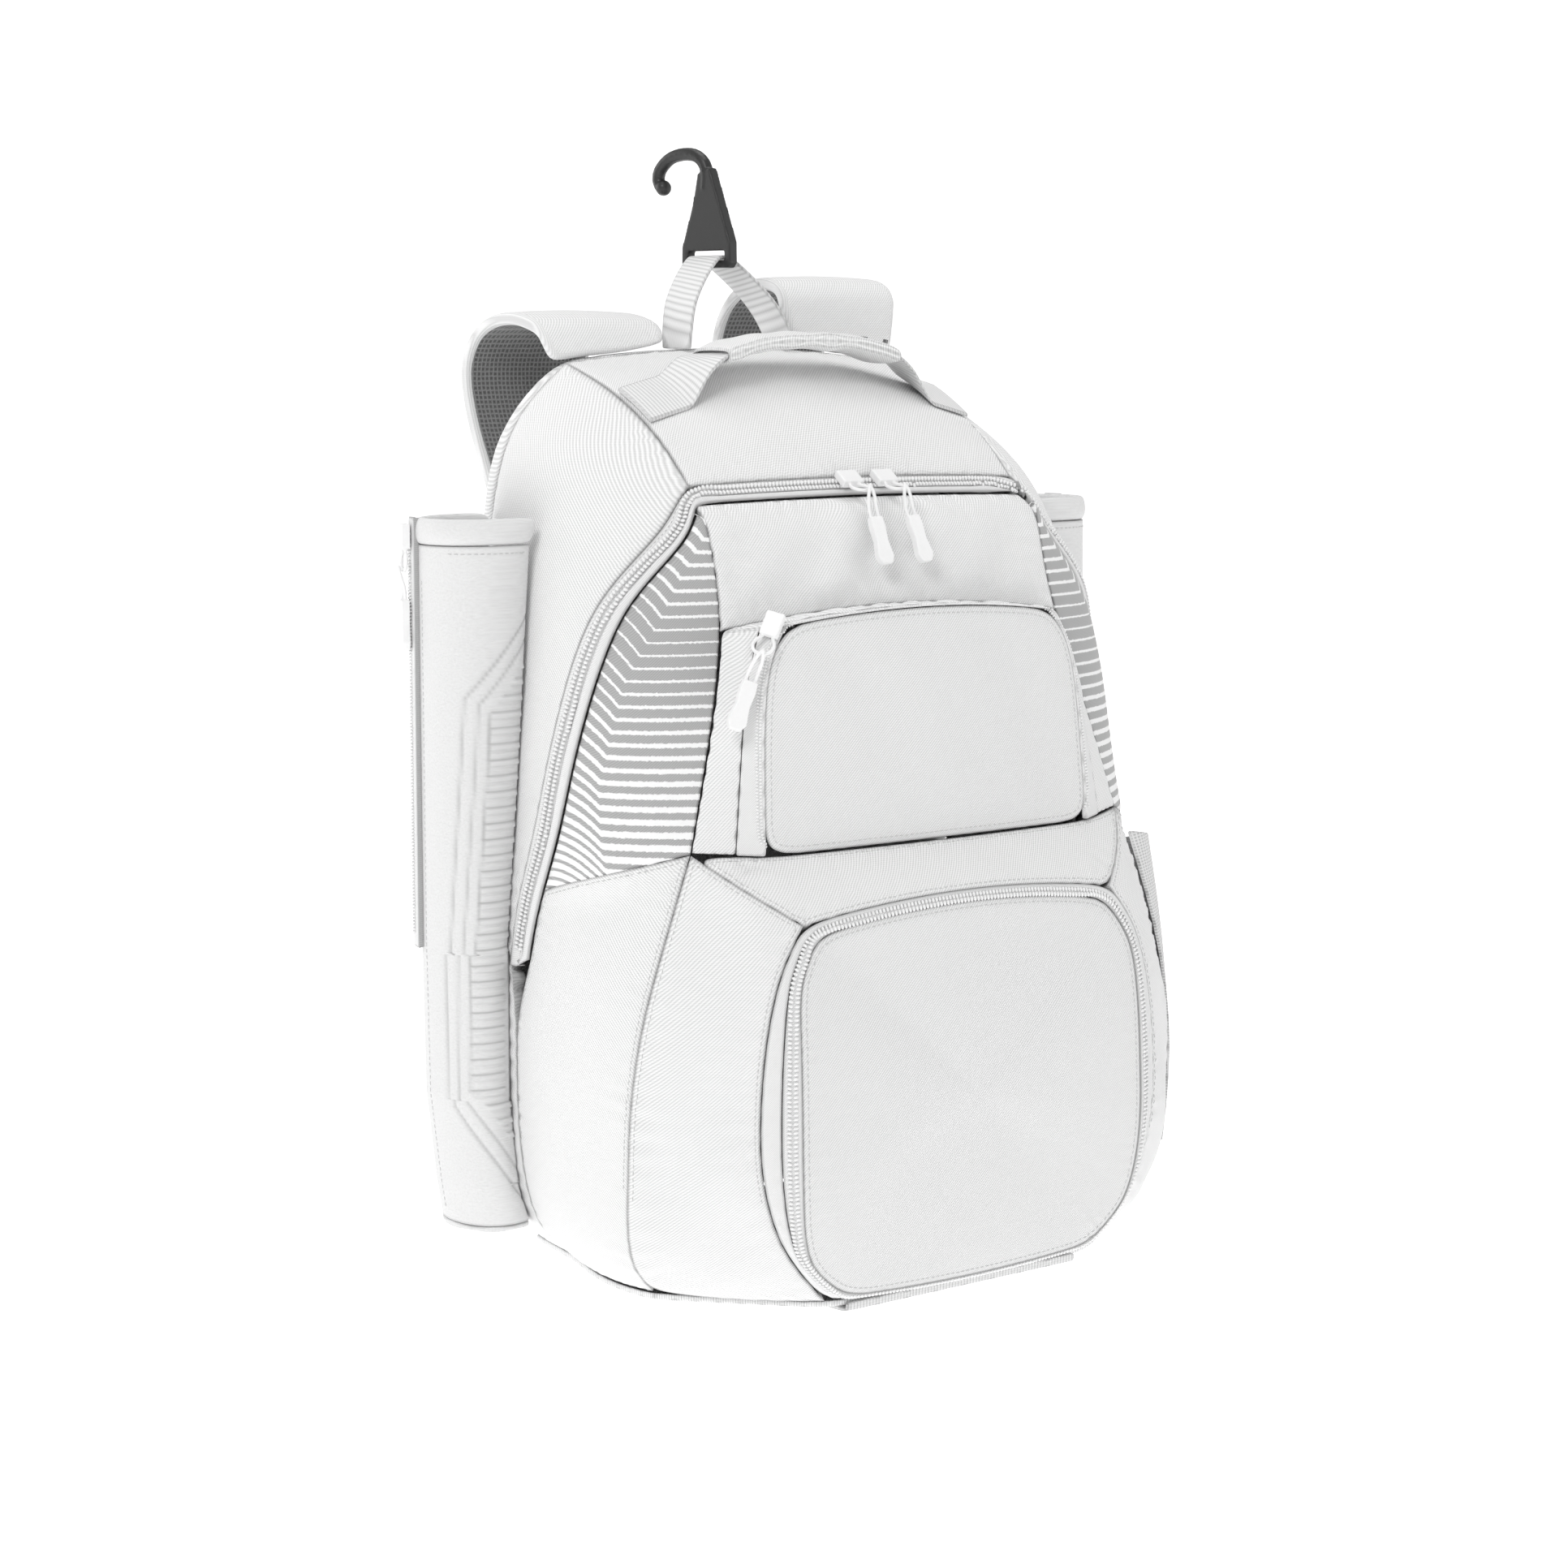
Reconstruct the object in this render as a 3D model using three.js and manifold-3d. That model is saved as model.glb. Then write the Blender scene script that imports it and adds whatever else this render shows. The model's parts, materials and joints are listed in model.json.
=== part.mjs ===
import * as THREE from "three";
import { mergeVertices } from "three/addons/utils/BufferGeometryUtils.js";
import Module from "manifold-3d";

// Baseball bat backpack that hangs from its fence hook. Millimetres.
// While it is built, x runs to the bag's right seen from the front, y to the back and z up,
// with the underside of the bag at z 0. The finished group is then moved to the hook's seat.

// Body
const bagHeight = 460;
const halfWidth = 176;
const bodyDepth = 154;
const rearFace = 15;
const topHalf = 101;
const clothWall = 2.6;
const seamGap = 0.36;
const baseThick = 3;
const backThick = 8;
const coreY = -50;
const coreLow = 70;
const coreHigh = 320;

// Main zipper
const zipHalf = 8;
const zipHalfTop = 5;
const chevronBulge = 0.16;

// Front pockets
const pocketDepth = 50;
const lidThick = 9;
const lidCrown = 5;
const midThick = 5;
const midCrown = 6;
const flapHalf = 72;
const flapThick = 2.4;
const flapReach = 16;

// Bat sleeves
const sleeveReach = 206;
const sleeveWall = 3.4;
const sleeveFoot = 30;
const sleeveTop = 360;
const sleeveRimTall = 13;
const sleeveRimWall = 4.6;
const sleeveZipWide = 10;
const sleeveZipEnd = 165;
const tapeThick = 1.5;
const tapeLift = 0.7;
const tapeBow = 0.9;
const sleeveSeamY = -45;
const sleeveRearY = 11.5;
const sleeveClear = 0.9;
const rimReach = 1.004;
const zipSpot = 5;

// Stretch pocket on the right side
const meshTop = 206;
const meshFoot = 38;
const meshStand = 15;
const meshWall = 1.6;

// Handle, hook and straps
const webThick = 1.8;
const handleWide = 28;
const handleY = -44;
const handleDrop = 3.5;
const wrapHalf = 54;
const wrapWide = 33;
const wrapThick = 9;
const wrapWall = 2.2;
const hookWebWide = 24;
const hookSlotY = 32;
const hookStand = 40;
const hookYaw = THREE.MathUtils.degToRad(10);
const hookThick = 6;
const hookWire = 3.5;
const strapWide = 75;
const strapThick = 9;
const strapInner = 36;
const strapWebWide = 25;
const rootShare = 0.86;
const rootGap = 0.5;
const rootCurl = 12;
const webAnchor = { x: 0.67, z: 0.074, off: 2.8 };
const webSag = 3;
const adjusterSize = [33, 16, 7.5];

// Zipper pulls
const sliderSize = [9, 12, 4];
const bailWire = 1;
const bailSize = [4.8, 13];
const bailProfile = [
  { s: 0.45, t: 0 },
  { s: 0.5, t: 0.22 },
  { s: 1, t: 0.5 },
  { s: 1, t: 0.75 },
  { s: 0.62, t: 0.95 },
  { s: 0, t: 1 },
];
const bailRoot = 2.5;
const bailRise = 0.4;
const loopWire = 1;
const loopLong = 17;
const tabSize = [9.5, 24, 4];
const tabProfile = [
  { s: 0.36, t: 0 },
  { s: 0.42, t: 0.2 },
  { s: 0.36, t: 0.5 },
  { s: 0.5, t: 0.85 },
  { s: 0.3, t: 1 },
];

const CLOTH = new THREE.Color(0xe9e9e9);
const POCKET = new THREE.Color(0xdcdcdc);
const GREY = new THREE.Color(0xb4b4b4);
const NEOPRENE = new THREE.Color(0xeeeeee);
const WEB = new THREE.Color(0xe2e2e2);
const BLACK = new THREE.Color(0x1b1c1d);

const wasm = await Module();
wasm.setup();

const bag = new THREE.Group();

const V = (x, y, z) => new THREE.Vector3(x, y, z);
const mix = (a, b, t) => a + (b - a) * t;
const steps = (n) => Array.from({ length: n + 1 }, (_, i) => i / n);
const flipX = (p) => V(-p.x, p.y, p.z);
const clampNumber = (v, low, high) => Math.min(high, Math.max(low, v));

// The way into the bag from a point of its surface. Neighbouring panels share it along a seam.
function inward(p) {
  const core = V(0, coreY, clampNumber(p.z, coreLow, coreHigh));
  return core.sub(p).normalize();
}

function addMesh(name, geometry, color, roughness = 0.85, metalness = 0) {
  const mesh = new THREE.Mesh(
    geometry,
    new THREE.MeshStandardMaterial({ color, roughness, metalness }),
  );
  mesh.name = name;
  bag.add(mesh);
  return mesh;
}

function signedVolume(points, faces) {
  let sum = 0;
  for (const [a, b, c] of faces) {
    sum += points[a].dot(V(0, 0, 0).crossVectors(points[b], points[c])) / 6;
  }
  return sum;
}

// A geometry from shared points and triangles, turned to face outwards.
function closedGeometry(points, faces) {
  const middle = points[0].clone();
  const moved = points.map((p) => p.clone().sub(middle));
  const turned = signedVolume(moved, faces) < 0;
  const index = faces.flatMap(([a, b, c]) => (turned ? [a, c, b] : [a, b, c]));
  const geometry = new THREE.BufferGeometry().setFromPoints(points);
  geometry.setIndex(index);
  geometry.computeVertexNormals();
  return geometry;
}

// Moves the border of an open grid of rows inwards, so that a seam keeps its gap.
function trimGrid(grid, sides) {
  const rows = grid.length;
  const cols = grid[0].length;
  const copy = grid.map((row) => row.map((p) => p.clone()));
  const pull = (i, j, ni, nj) => {
    const step = grid[ni][nj].clone().sub(grid[i][j]);
    copy[i][j].add(step.setLength(Math.min(seamGap / 2, step.length() / 4)));
  };
  for (let j = 0; j < cols; j += 1) {
    if (sides.rows) pull(0, j, 1, j);
    if (sides.rows) pull(rows - 1, j, rows - 2, j);
  }
  for (let i = 0; i < rows; i += 1) {
    if (sides.cols) pull(i, 0, i, 1);
    if (sides.cols) pull(i, cols - 1, i, cols - 2);
  }
  return copy;
}

// A closed wall: the outer grid, an inner grid and the border between them.
// A grid that closes on itself along its rows has wrap set, and its last column is left out.
function wallGeometry(outer, inner, wrap = false) {
  const rows = outer.length;
  const cols = outer[0].length;
  const points = [...outer.flat(), ...inner.flat()];
  const half = rows * cols;
  const at = (i, j, side) => side * half + i * cols + (j % cols);
  const faces = [];
  const quad = (a, b, c, d) => faces.push([a, b, c], [a, c, d]);
  const last = wrap ? cols : cols - 1;
  for (let i = 0; i < rows - 1; i += 1) {
    for (let j = 0; j < last; j += 1) {
      quad(at(i, j, 0), at(i, j + 1, 0), at(i + 1, j + 1, 0), at(i + 1, j, 0));
      quad(at(i, j, 1), at(i + 1, j, 1), at(i + 1, j + 1, 1), at(i, j + 1, 1));
    }
  }
  for (let j = 0; j < last; j += 1) {
    quad(at(0, j, 0), at(0, j, 1), at(0, j + 1, 1), at(0, j + 1, 0));
    quad(at(rows - 1, j, 0), at(rows - 1, j + 1, 0), at(rows - 1, j + 1, 1), at(rows - 1, j, 1));
  }
  if (!wrap) {
    for (let i = 0; i < rows - 1; i += 1) {
      quad(at(i, 0, 0), at(i + 1, 0, 0), at(i + 1, 0, 1), at(i, 0, 1));
      quad(at(i, last, 0), at(i, last, 1), at(i + 1, last, 1), at(i + 1, last, 0));
    }
  }
  return closedGeometry(points, faces);
}

const thicken = (grid, thick, into = inward) =>
  grid.map((row) => row.map((p) => p.clone().addScaledVector(into(p), thick)));

// A cloth panel from a grid of points on its outer face.
function panel(name, grid, color, options = {}) {
  const { thick = clothWall, trim = { rows: true, cols: true } } = options;
  const outer = trimGrid(grid, trim);
  return addMesh(name, wallGeometry(outer, thicken(outer, thick)), color);
}

function mirrored(grid) {
  return grid.map((row) => row.map(flipX));
}

// A pad inside a closed outline: shrinking rings and a middle point, crowned towards the front.
function padGeometry(loop, crown, thick, shares = [1, 0.86, 0.5]) {
  const middle = loop.reduce((s, p) => s.add(p), V(0, 0, 0)).divideScalar(loop.length);
  const face = (back) => {
    const bowed = (p, share) => {
      const q = middle.clone().lerp(p, share);
      q.y -= crown * (1 - share * share);
      return q.addScaledVector(inward(q), back);
    };
    const rings = shares.map((share) => loop.map((p) => bowed(p, share)));
    return { rings, centre: bowed(middle, 0) };
  };
  const points = [];
  const faces = [];
  const count = loop.length;
  const outline = [];
  for (const [side, back] of [0, thick].entries()) {
    const { rings, centre } = face(back);
    const start = points.length;
    rings.flat().forEach((p) => points.push(p));
    points.push(centre);
    outline.push(start);
    for (let j = 0; j < count; j += 1) {
      const k = (j + 1) % count;
      const tri = (a, b, c) => faces.push(side ? [a, c, b] : [a, b, c]);
      for (let r = 0; r < shares.length - 1; r += 1) {
        const a = start + r * count;
        const b = a + count;
        tri(a + j, a + k, b + k);
        tri(a + j, b + k, b + j);
      }
      const inner = start + (shares.length - 1) * count;
      tri(inner + j, inner + k, points.length - 1);
    }
  }
  for (let j = 0; j < count; j += 1) {
    const k = (j + 1) % count;
    const [a, b] = outline;
    faces.push([a + j, b + j, b + k], [a + j, b + k, a + k]);
  }
  return closedGeometry(points, faces);
}

// A plate: a closed outline with a thickness along one direction.
function plateGeometry(outline, shift) {
  const flat = outline.map((p) => new THREE.Vector2(p.u, p.v));
  const triangles = THREE.ShapeUtils.triangulateShape(flat, []);
  const points = [
    ...outline.map((p) => p.at.clone()),
    ...outline.map((p) => p.at.clone().add(shift)),
  ];
  const count = outline.length;
  const faces = [];
  for (const [a, b, c] of triangles) {
    faces.push([a, b, c], [a + count, c + count, b + count]);
  }
  const clockwise = THREE.ShapeUtils.isClockWise(flat);
  for (let j = 0; j < count; j += 1) {
    const k = (j + 1) % count;
    if (clockwise) faces.push([j, k, k + count], [j, k + count, j + count]);
    else faces.push([j, k + count, k], [j, j + count, k + count]);
  }
  return closedGeometry(points, faces);
}

// A bar of round section along points. Its ends are closed.
function barGeometry(points, radius, sides = 8, count = 16, closed = false) {
  const path = new THREE.CatmullRomCurve3(points, closed, "centripetal");
  const shape = new THREE.Shape();
  steps(sides)
    .slice(0, sides)
    .forEach((t, i) => {
      const angle = t * 2 * Math.PI;
      const x = radius * Math.cos(angle);
      const y = radius * Math.sin(angle);
      if (i === 0) shape.moveTo(x, y);
      else shape.lineTo(x, y);
    });
  return new THREE.ExtrudeGeometry(shape, { steps: count, extrudePath: path, curveSegments: 1 });
}

function toSolid(geometry) {
  const bare = geometry.clone();
  bare.deleteAttribute("normal");
  bare.deleteAttribute("uv");
  const merged = mergeVertices(bare, 1e-4);
  const mesh = new wasm.Mesh({
    numProp: 3,
    vertProperties: new Float32Array(merged.attributes.position.array),
    triVerts: new Uint32Array(merged.index.array),
  });
  mesh.merge();
  return new wasm.Manifold(mesh);
}

function fromSolid(solid) {
  const mesh = solid.simplify(0.05).getMesh();
  const geometry = new THREE.BufferGeometry();
  geometry.setAttribute("position", new THREE.BufferAttribute(mesh.vertProperties, 3));
  geometry.setIndex(new THREE.BufferAttribute(mesh.triVerts, 1));
  geometry.computeVertexNormals();
  return geometry;
}

// Shares of the body's sizes, from the underside up over the shoulder to the top panel's seam.
// x is a share of halfWidth, d of bodyDepth from the rear, z of bagHeight.
const flankRows = [
  { rx: 0.727, rz: 0.013, mx: 0.775, md: 0.25, mz: 0.015, fx: 0.815, fd: 0.422, fz: 0.022 },
  { rx: 0.8, rz: 0.056, mx: 0.885, md: 0.25, mz: 0.056, fx: 0.925, fd: 0.422, fz: 0.057 },
  { rx: 0.84, rz: 0.13, mx: 0.945, md: 0.25, mz: 0.13, fx: 0.985, fd: 0.422, fz: 0.13 },
  { rx: 0.852, rz: 0.24, mx: 0.962, md: 0.25, mz: 0.24, fx: 1, fd: 0.422, fz: 0.24 },
  { rx: 0.852, rz: 0.343, mx: 0.965, md: 0.27, mz: 0.343, fx: 1, fd: 0.44, fz: 0.343 },
  { rx: 0.852, rz: 0.424, mx: 0.966, md: 0.31, mz: 0.424, fx: 0.99, fd: 0.494, fz: 0.424 },
  { rx: 0.852, rz: 0.49, mx: 0.958, md: 0.34, mz: 0.49, fx: 0.972, fd: 0.555, fz: 0.489 },
  { rx: 0.852, rz: 0.56, mx: 0.945, md: 0.36, mz: 0.558, fx: 0.962, fd: 0.6, fz: 0.556 },
  { rx: 0.852, rz: 0.63, mx: 0.935, md: 0.364, mz: 0.627, fx: 0.938, fd: 0.65, fz: 0.624 },
  { rx: 0.85, rz: 0.69, mx: 0.926, md: 0.36, mz: 0.684, fx: 0.9, fd: 0.68, fz: 0.678 },
  { rx: 0.845, rz: 0.745, mx: 0.918, md: 0.36, mz: 0.737, fx: 0.85, fd: 0.712, fz: 0.724 },
  { rx: 0.833, rz: 0.8, mx: 0.905, md: 0.38, mz: 0.785, fx: 0.757, fd: 0.727, fz: 0.76 },
  { rx: 0.8, rz: 0.868, mx: 0.842, md: 0.41, mz: 0.84, fx: 0.652, fd: 0.744, fz: 0.796 },
  { rx: 0.728, rz: 0.923, mx: 0.725, md: 0.42, mz: 0.88, fx: 0.61, fd: 0.735, fz: 0.821 },
];
const seamRow = { rz: 0.97, md: 0.42, mz: 0.916, fd: 0.71, fz: 0.835 };
const crestRow = { rz: 0.984, md: 0.435, mz: 0.946, fd: 0.727, fz: 0.839 };

const depthY = (share) => rearFace - share * bodyDepth;
const flankCurves = {
  rear: flankRows.map((r) => V(r.rx * halfWidth, rearFace, r.rz * bagHeight)),
  middle: flankRows.map((r) => V(r.mx * halfWidth, depthY(r.md), r.mz * bagHeight)),
  front: flankRows.map((r) => V(r.fx * halfWidth, depthY(r.fd), r.fz * bagHeight)),
};
flankCurves.rear.push(V(topHalf, rearFace, seamRow.rz * bagHeight));
flankCurves.middle.push(V(topHalf, depthY(seamRow.md), seamRow.mz * bagHeight));
flankCurves.front.push(V(topHalf, depthY(seamRow.fd), seamRow.fz * bagHeight));
const lastRow = flankRows.length;
const curveOf = (points) => new THREE.CatmullRomCurve3(points, false, "centripetal");
const rearCurve = curveOf(flankCurves.rear);
const middleCurve = curveOf(flankCurves.middle);
const frontCurve = curveOf(flankCurves.front);
const onRow = (curve, row) => curve.getPoint(row / lastRow);

// A smooth pass through three points at 0, 0.5 and 1.
function through(a, b, c, t) {
  return V(0, 0, 0)
    .addScaledVector(a, (1 - t) * (1 - 2 * t))
    .addScaledVector(b, 4 * t * (1 - t))
    .addScaledVector(c, t * (2 * t - 1));
}

const flank = (row, v) =>
  through(onRow(rearCurve, row), onRow(middleCurve, row), onRow(frontCurve, row), v);

// The point of the flank at a height, on the line v between its rear and its zipper.
function flankAt(z, v) {
  let low = 0;
  let high = lastRow;
  for (let i = 0; i < 40; i += 1) {
    const row = (low + high) / 2;
    if (flank(row, v).z < z) low = row;
    else high = row;
  }
  return flank(low, v);
}

const crest = {
  rear: V(0, rearFace, crestRow.rz * bagHeight),
  middle: V(0, depthY(crestRow.md), crestRow.mz * bagHeight),
  front: V(0, depthY(crestRow.fd), crestRow.fz * bagHeight),
};

// The top panel's surface: x across, v from the rear edge to the zipper.
function crown(x, v) {
  const centre = through(crest.rear, crest.middle, crest.front, v);
  const side = flank(lastRow, v);
  const share = (x / topHalf) ** 2;
  const p = centre.lerp(V(0, side.y, side.z), share);
  p.x = x;
  return p;
}

function crownAt(x, y) {
  let low = 0;
  let high = 1;
  for (let i = 0; i < 40; i += 1) {
    const v = (low + high) / 2;
    if (crown(x, v).y > y) low = v;
    else high = v;
  }
  return crown(x, low);
}

// Rows of the flank, with the zipper's lower end and the stripes' lower seam among them.
const rowOf = { zip: 4, stripes: 5, fold: 10 };
const lowerFlankRows = [0, 0.5, 1, 1.5, 2, 2.5, 3, 3.5, rowOf.zip, 4.25, 4.5, 4.75, rowOf.stripes];
const sideRows = [...lowerFlankRows, 6, 7, 8, 9, 10, 11, 12, 13, lastRow];
const acrossTop = steps(12).map((t) => mix(-topHalf, topHalf, t));

// The stripes' inner seam beside the upper front, one row for each flank row from rowOf.stripes up.
const innerRows = [
  { x: 0.761, d: 0.99, z: 0.477 },
  { x: 0.733, d: 0.979, z: 0.513 },
  { x: 0.699, d: 0.964, z: 0.557 },
  { x: 0.662, d: 0.945, z: 0.602 },
  { x: 0.63, d: 0.924, z: 0.648 },
  { x: 0.597, d: 0.892, z: 0.698 },
  { x: 0.585, d: 0.862, z: 0.737 },
  { x: 0.584, d: 0.835, z: 0.774 },
  { x: 0.589, d: 0.8, z: 0.811 },
].map((r) => V(r.x * halfWidth, depthY(r.d), r.z * bagHeight));
const innerSeam = (row) => innerRows[row - rowOf.stripes];

const zipWidth = (row) => mix(zipHalf, zipHalfTop, clampNumber((row - 9) / (lastRow - 9), 0, 1));

// The zipper's edges: behind it on the flank, and in front of it on the stripes or the upper front.
function zipBack(row) {
  const front = onRow(frontCurve, row);
  const share = Math.max(0.75, 1 - zipHalf / front.distanceTo(onRow(middleCurve, row)) / 2);
  const near = flank(row, share);
  return front.clone().add(near.sub(front).setLength(zipWidth(row)));
}

function zipFront(row) {
  const front = onRow(frontCurve, row);
  const target = row >= rowOf.stripes ? innerSeam(Math.min(row, lastRow - 1)) : crease[lowerCount - 1];
  return front.clone().add(target.clone().sub(front).setLength(zipWidth(row)));
}

const crownFront = (x) => crown(x, 1).add(V(0, -0.36, -0.93).setLength(zipHalfTop));
const crownBack = (x) => {
  const edge = crown(x, 1);
  return edge.clone().add(crown(x, 0.9).sub(edge).setLength(zipHalfTop));
};

// The lower front: the corner crease, the pocket's outer ring and the lid's edge, from the base up.
// x is a share of halfWidth, d of bodyDepth, p of pocketDepth in front of it, z of bagHeight.
const lowerRows = [
  { cx: 0.872, cd: 0.96, cz: 0.026, gx: 0.477, gp: 0.74, gz: 0.011, lx: 0.432, lp: 0.9, lz: 0.017 },
  { cx: 0.955, cd: 0.974, cz: 0.065, gx: 0.636, gp: 0.82, gz: 0.078, lx: 0.568, lp: 0.93, lz: 0.059 },
  { cx: 0.972, cd: 0.997, cz: 0.157, gx: 0.699, gp: 0.81, gz: 0.152, lx: 0.605, lp: 1, lz: 0.135 },
  { cx: 0.966, cd: 1, cz: 0.226, gx: 0.705, gp: 0.8, gz: 0.217, lx: 0.606, lp: 0.99, lz: 0.213 },
  { cx: 0.926, cd: 1, cz: 0.309, gx: 0.682, gp: 0.79, gz: 0.296, lx: 0.602, lp: 0.95, lz: 0.291 },
  { cx: 0.847, cd: 1, cz: 0.396, gx: 0.631, gp: 0.77, gz: 0.361, lx: 0.585, lp: 0.87, lz: 0.352 },
  { cx: 0.761, cd: 0.99, cz: 0.477, gx: 0.545, gp: 0.72, gz: 0.407, lx: 0.506, lp: 0.77, lz: 0.396 },
];
const pocketY = (share) => depthY(1) - share * pocketDepth;
const smoothed = (points, count) => curveOf(points).getPoints(count - 1);
const lowerCount = lowerFlankRows.length;
const crease = smoothed(
  lowerRows.map((r) => V(r.cx * halfWidth, depthY(r.cd), r.cz * bagHeight)),
  lowerCount,
);
const ringSide = smoothed(
  lowerRows.map((r) => V(r.gx * halfWidth, pocketY(r.gp), r.gz * bagHeight)),
  lowerCount,
);
const lidSide = smoothed(
  lowerRows.map((r) => V(r.lx * halfWidth, pocketY(r.lp), r.lz * bagHeight)),
  lowerCount,
);

// Points between the two ends of a row across the front, bowed forwards and up in the middle.
function across(end, bow, rise, shares) {
  return shares.map((s) =>
    V(s * end.x, end.y - bow * (1 - s * s), end.z + rise * (1 - s * s)),
  );
}
const acrossPocket = [-0.75, -0.4, 0, 0.4, 0.75];
const ringRise = 8.5;

function closedLoop(side, top, bottom) {
  const left = side.map(flipX);
  return [...left, ...top, ...side.slice().reverse(), ...bottom];
}
const ringTop = across(ringSide.at(-1), 3.5, ringRise, acrossPocket);
const ringBottom = across(ringSide[0], -0.8, -1.6, acrossPocket.slice().reverse());
const lidTop = across(lidSide.at(-1), 3, ringRise, acrossPocket);
const lidBottom = across(lidSide[0], 1.5, -2.4, acrossPocket.slice().reverse());
const ringLoop = closedLoop(ringSide, ringTop, ringBottom);
const lidLoop = closedLoop(lidSide, lidTop, lidBottom);

// A closed band between two loops, trimmed on both edges.
function bandBetween(name, outerLoop, innerLoop, color, thick = clothWall) {
  const grid = [0, 0.5, 1].map((t) => outerLoop.map((p, i) => p.clone().lerp(innerLoop[i], t)));
  const outer = trimGrid(grid, { rows: true, cols: false });
  return addMesh(name, wallGeometry(outer, thicken(outer, thick), true), color);
}

function buildFlanks() {
  const v = [0, 0.25, 0.5, 0.75];
  const grid = sideRows.map((row) => {
    const line = v.map((t) => flank(row, t));
    line.push(row >= rowOf.zip ? zipBack(row) : onRow(frontCurve, row));
    return line;
  });
  panel("side_panel_right", grid, CLOTH);
  panel("side_panel_left", mirrored(grid), CLOTH);
}

function buildTop() {
  const grid = acrossTop.map((x) => {
    const line = [0, 0.2, 0.35, 0.5, 0.65, 0.8].map((t) => crown(x, t));
    line.push(crownBack(x));
    return line;
  });
  panel("top_panel", grid, CLOTH);
}

function buildMainZip() {
  const rows = sideRows.filter((row) => row >= rowOf.zip && row < lastRow);
  const side = rows.map((row) => [zipBack(row), onRow(frontCurve, row), zipFront(row)]);
  const top = acrossTop.map((x) => [crownBack(x), crown(x, 1), crownFront(x)]);
  const grid = [...side.map((line) => line.map(flipX)), ...top, ...side.slice().reverse()];
  panel("main_zip", grid, WEB);
}

function buildStripes() {
  const rows = sideRows.filter((row) => row >= rowOf.stripes && row < lastRow);
  const grid = rows.map((row) => {
    const a = innerSeam(row);
    const b = zipFront(row);
    const bulge = chevronBulge * a.distanceTo(b);
    return steps(4).map((t) => {
      const p = a.clone().lerp(b, t);
      return p.addScaledVector(inward(p), -4 * bulge * t * (1 - t));
    });
  });
  panel("chevron_panel_right", grid, GREY);
  panel("chevron_panel_left", mirrored(grid), GREY);
}

const acrossUpper = [-1, -0.75, -0.4, 0, 0.4, 0.75, 1];

const foldRise = 9;

function upperLine(row) {
  const rise = foldRise * Math.max(0, 1 - (row - rowOf.fold) / 3);
  return across(innerSeam(row), 5, rise, acrossUpper);
}

function buildUpperFront() {
  const rows = [rowOf.fold, rowOf.fold + 1, rowOf.fold + 2, rowOf.fold + 3];
  const grid = rows.map(upperLine);
  grid.push(acrossUpper.map((s) => crownFront(s * topHalf)));
  panel("upper_front_panel", grid, CLOTH);
}

// The middle pocket's front edge, from its lower corner up the side to the top corner.
const midSide = [
  { x: 0.574, p: 0.26, z: 0.472 },
  { x: 0.57, p: 0.235, z: 0.515 },
  { x: 0.565, p: 0.2, z: 0.56 },
  { x: 0.557, p: 0.165, z: 0.616 },
  { x: 0.535, p: 0.13, z: 0.67 },
  { x: 0.47, p: 0.1, z: 0.704 },
].map((r) => V(r.x * halfWidth, pocketY(r.p), r.z * bagHeight));

function buildMidPocket() {
  const outerSide = sideRows.filter((r) => r >= rowOf.stripes && r <= rowOf.fold).map(innerSeam);
  const inner = acrossUpper.slice(1, -1);
  const outerPath = [
    ...outerSide.map(flipX),
    ...upperLine(rowOf.fold).slice(1, -1),
    ...outerSide.slice().reverse(),
  ];
  const frontPath = [
    ...midSide.map(flipX),
    ...across(midSide.at(-1), 4, 6, inner),
    ...midSide.slice().reverse(),
  ];
  const gridOf = (from, to) =>
    outerPath.map((p, i) => [from, (from + to) / 2, to].map((t) => p.clone().lerp(frontPath[i], t)));
  panel("mid_pocket_gusset", gridOf(0, 0.6), CLOTH);
  panel("mid_pocket_zip", gridOf(0.6, 1), WEB);
  const foot = across(midSide[0], 4, 0, inner.slice().reverse());
  const outline = [...frontPath, ...foot];
  const centre = outline.reduce((s, p) => s.add(p), V(0, 0, 0)).divideScalar(outline.length);
  const shrunk = outline.map((p) => {
    const step = centre.clone().sub(p);
    return p.clone().add(step.setLength(seamGap));
  });
  addMesh("mid_pocket_front", padGeometry(shrunk, midCrown, midThick), POCKET);
}

function buildLowerFront() {
  const grid = crease.map((c, i) =>
    steps(4).map((t) => {
      const p = c.clone().lerp(ringSide[i], t);
      return p.addScaledVector(inward(p), -12 * t * (1 - t));
    }),
  );
  panel("lower_front_right", grid, CLOTH);
  panel("lower_front_left", mirrored(grid), CLOTH);
  const left = grid.at(-1).map(flipX);
  const bandTop = [
    left[0],
    midSide[0].clone().setX(-midSide[0].x),
    ...across(midSide[0], 4, 0, acrossPocket),
    midSide[0].clone(),
    grid.at(-1)[0],
  ];
  const bandLow = [
    left.at(-1),
    ...[-0.88, ...acrossPocket, 0.88].map((s) => across(ringSide.at(-1), 3.5, ringRise, [s])[0]),
    grid.at(-1).at(-1),
  ];
  const rows = bandTop.map((p, i) =>
    steps(4).map((t) => {
      if (i === 0) return left[Math.round(t * 4)].clone();
      if (i === bandTop.length - 1) return grid.at(-1)[Math.round(t * 4)].clone();
      const q = p.clone().lerp(bandLow[i], t);
      return q.addScaledVector(inward(q), -8 * t * (1 - t));
    }),
  );
  panel("lower_band", rows, CLOTH);
}

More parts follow.
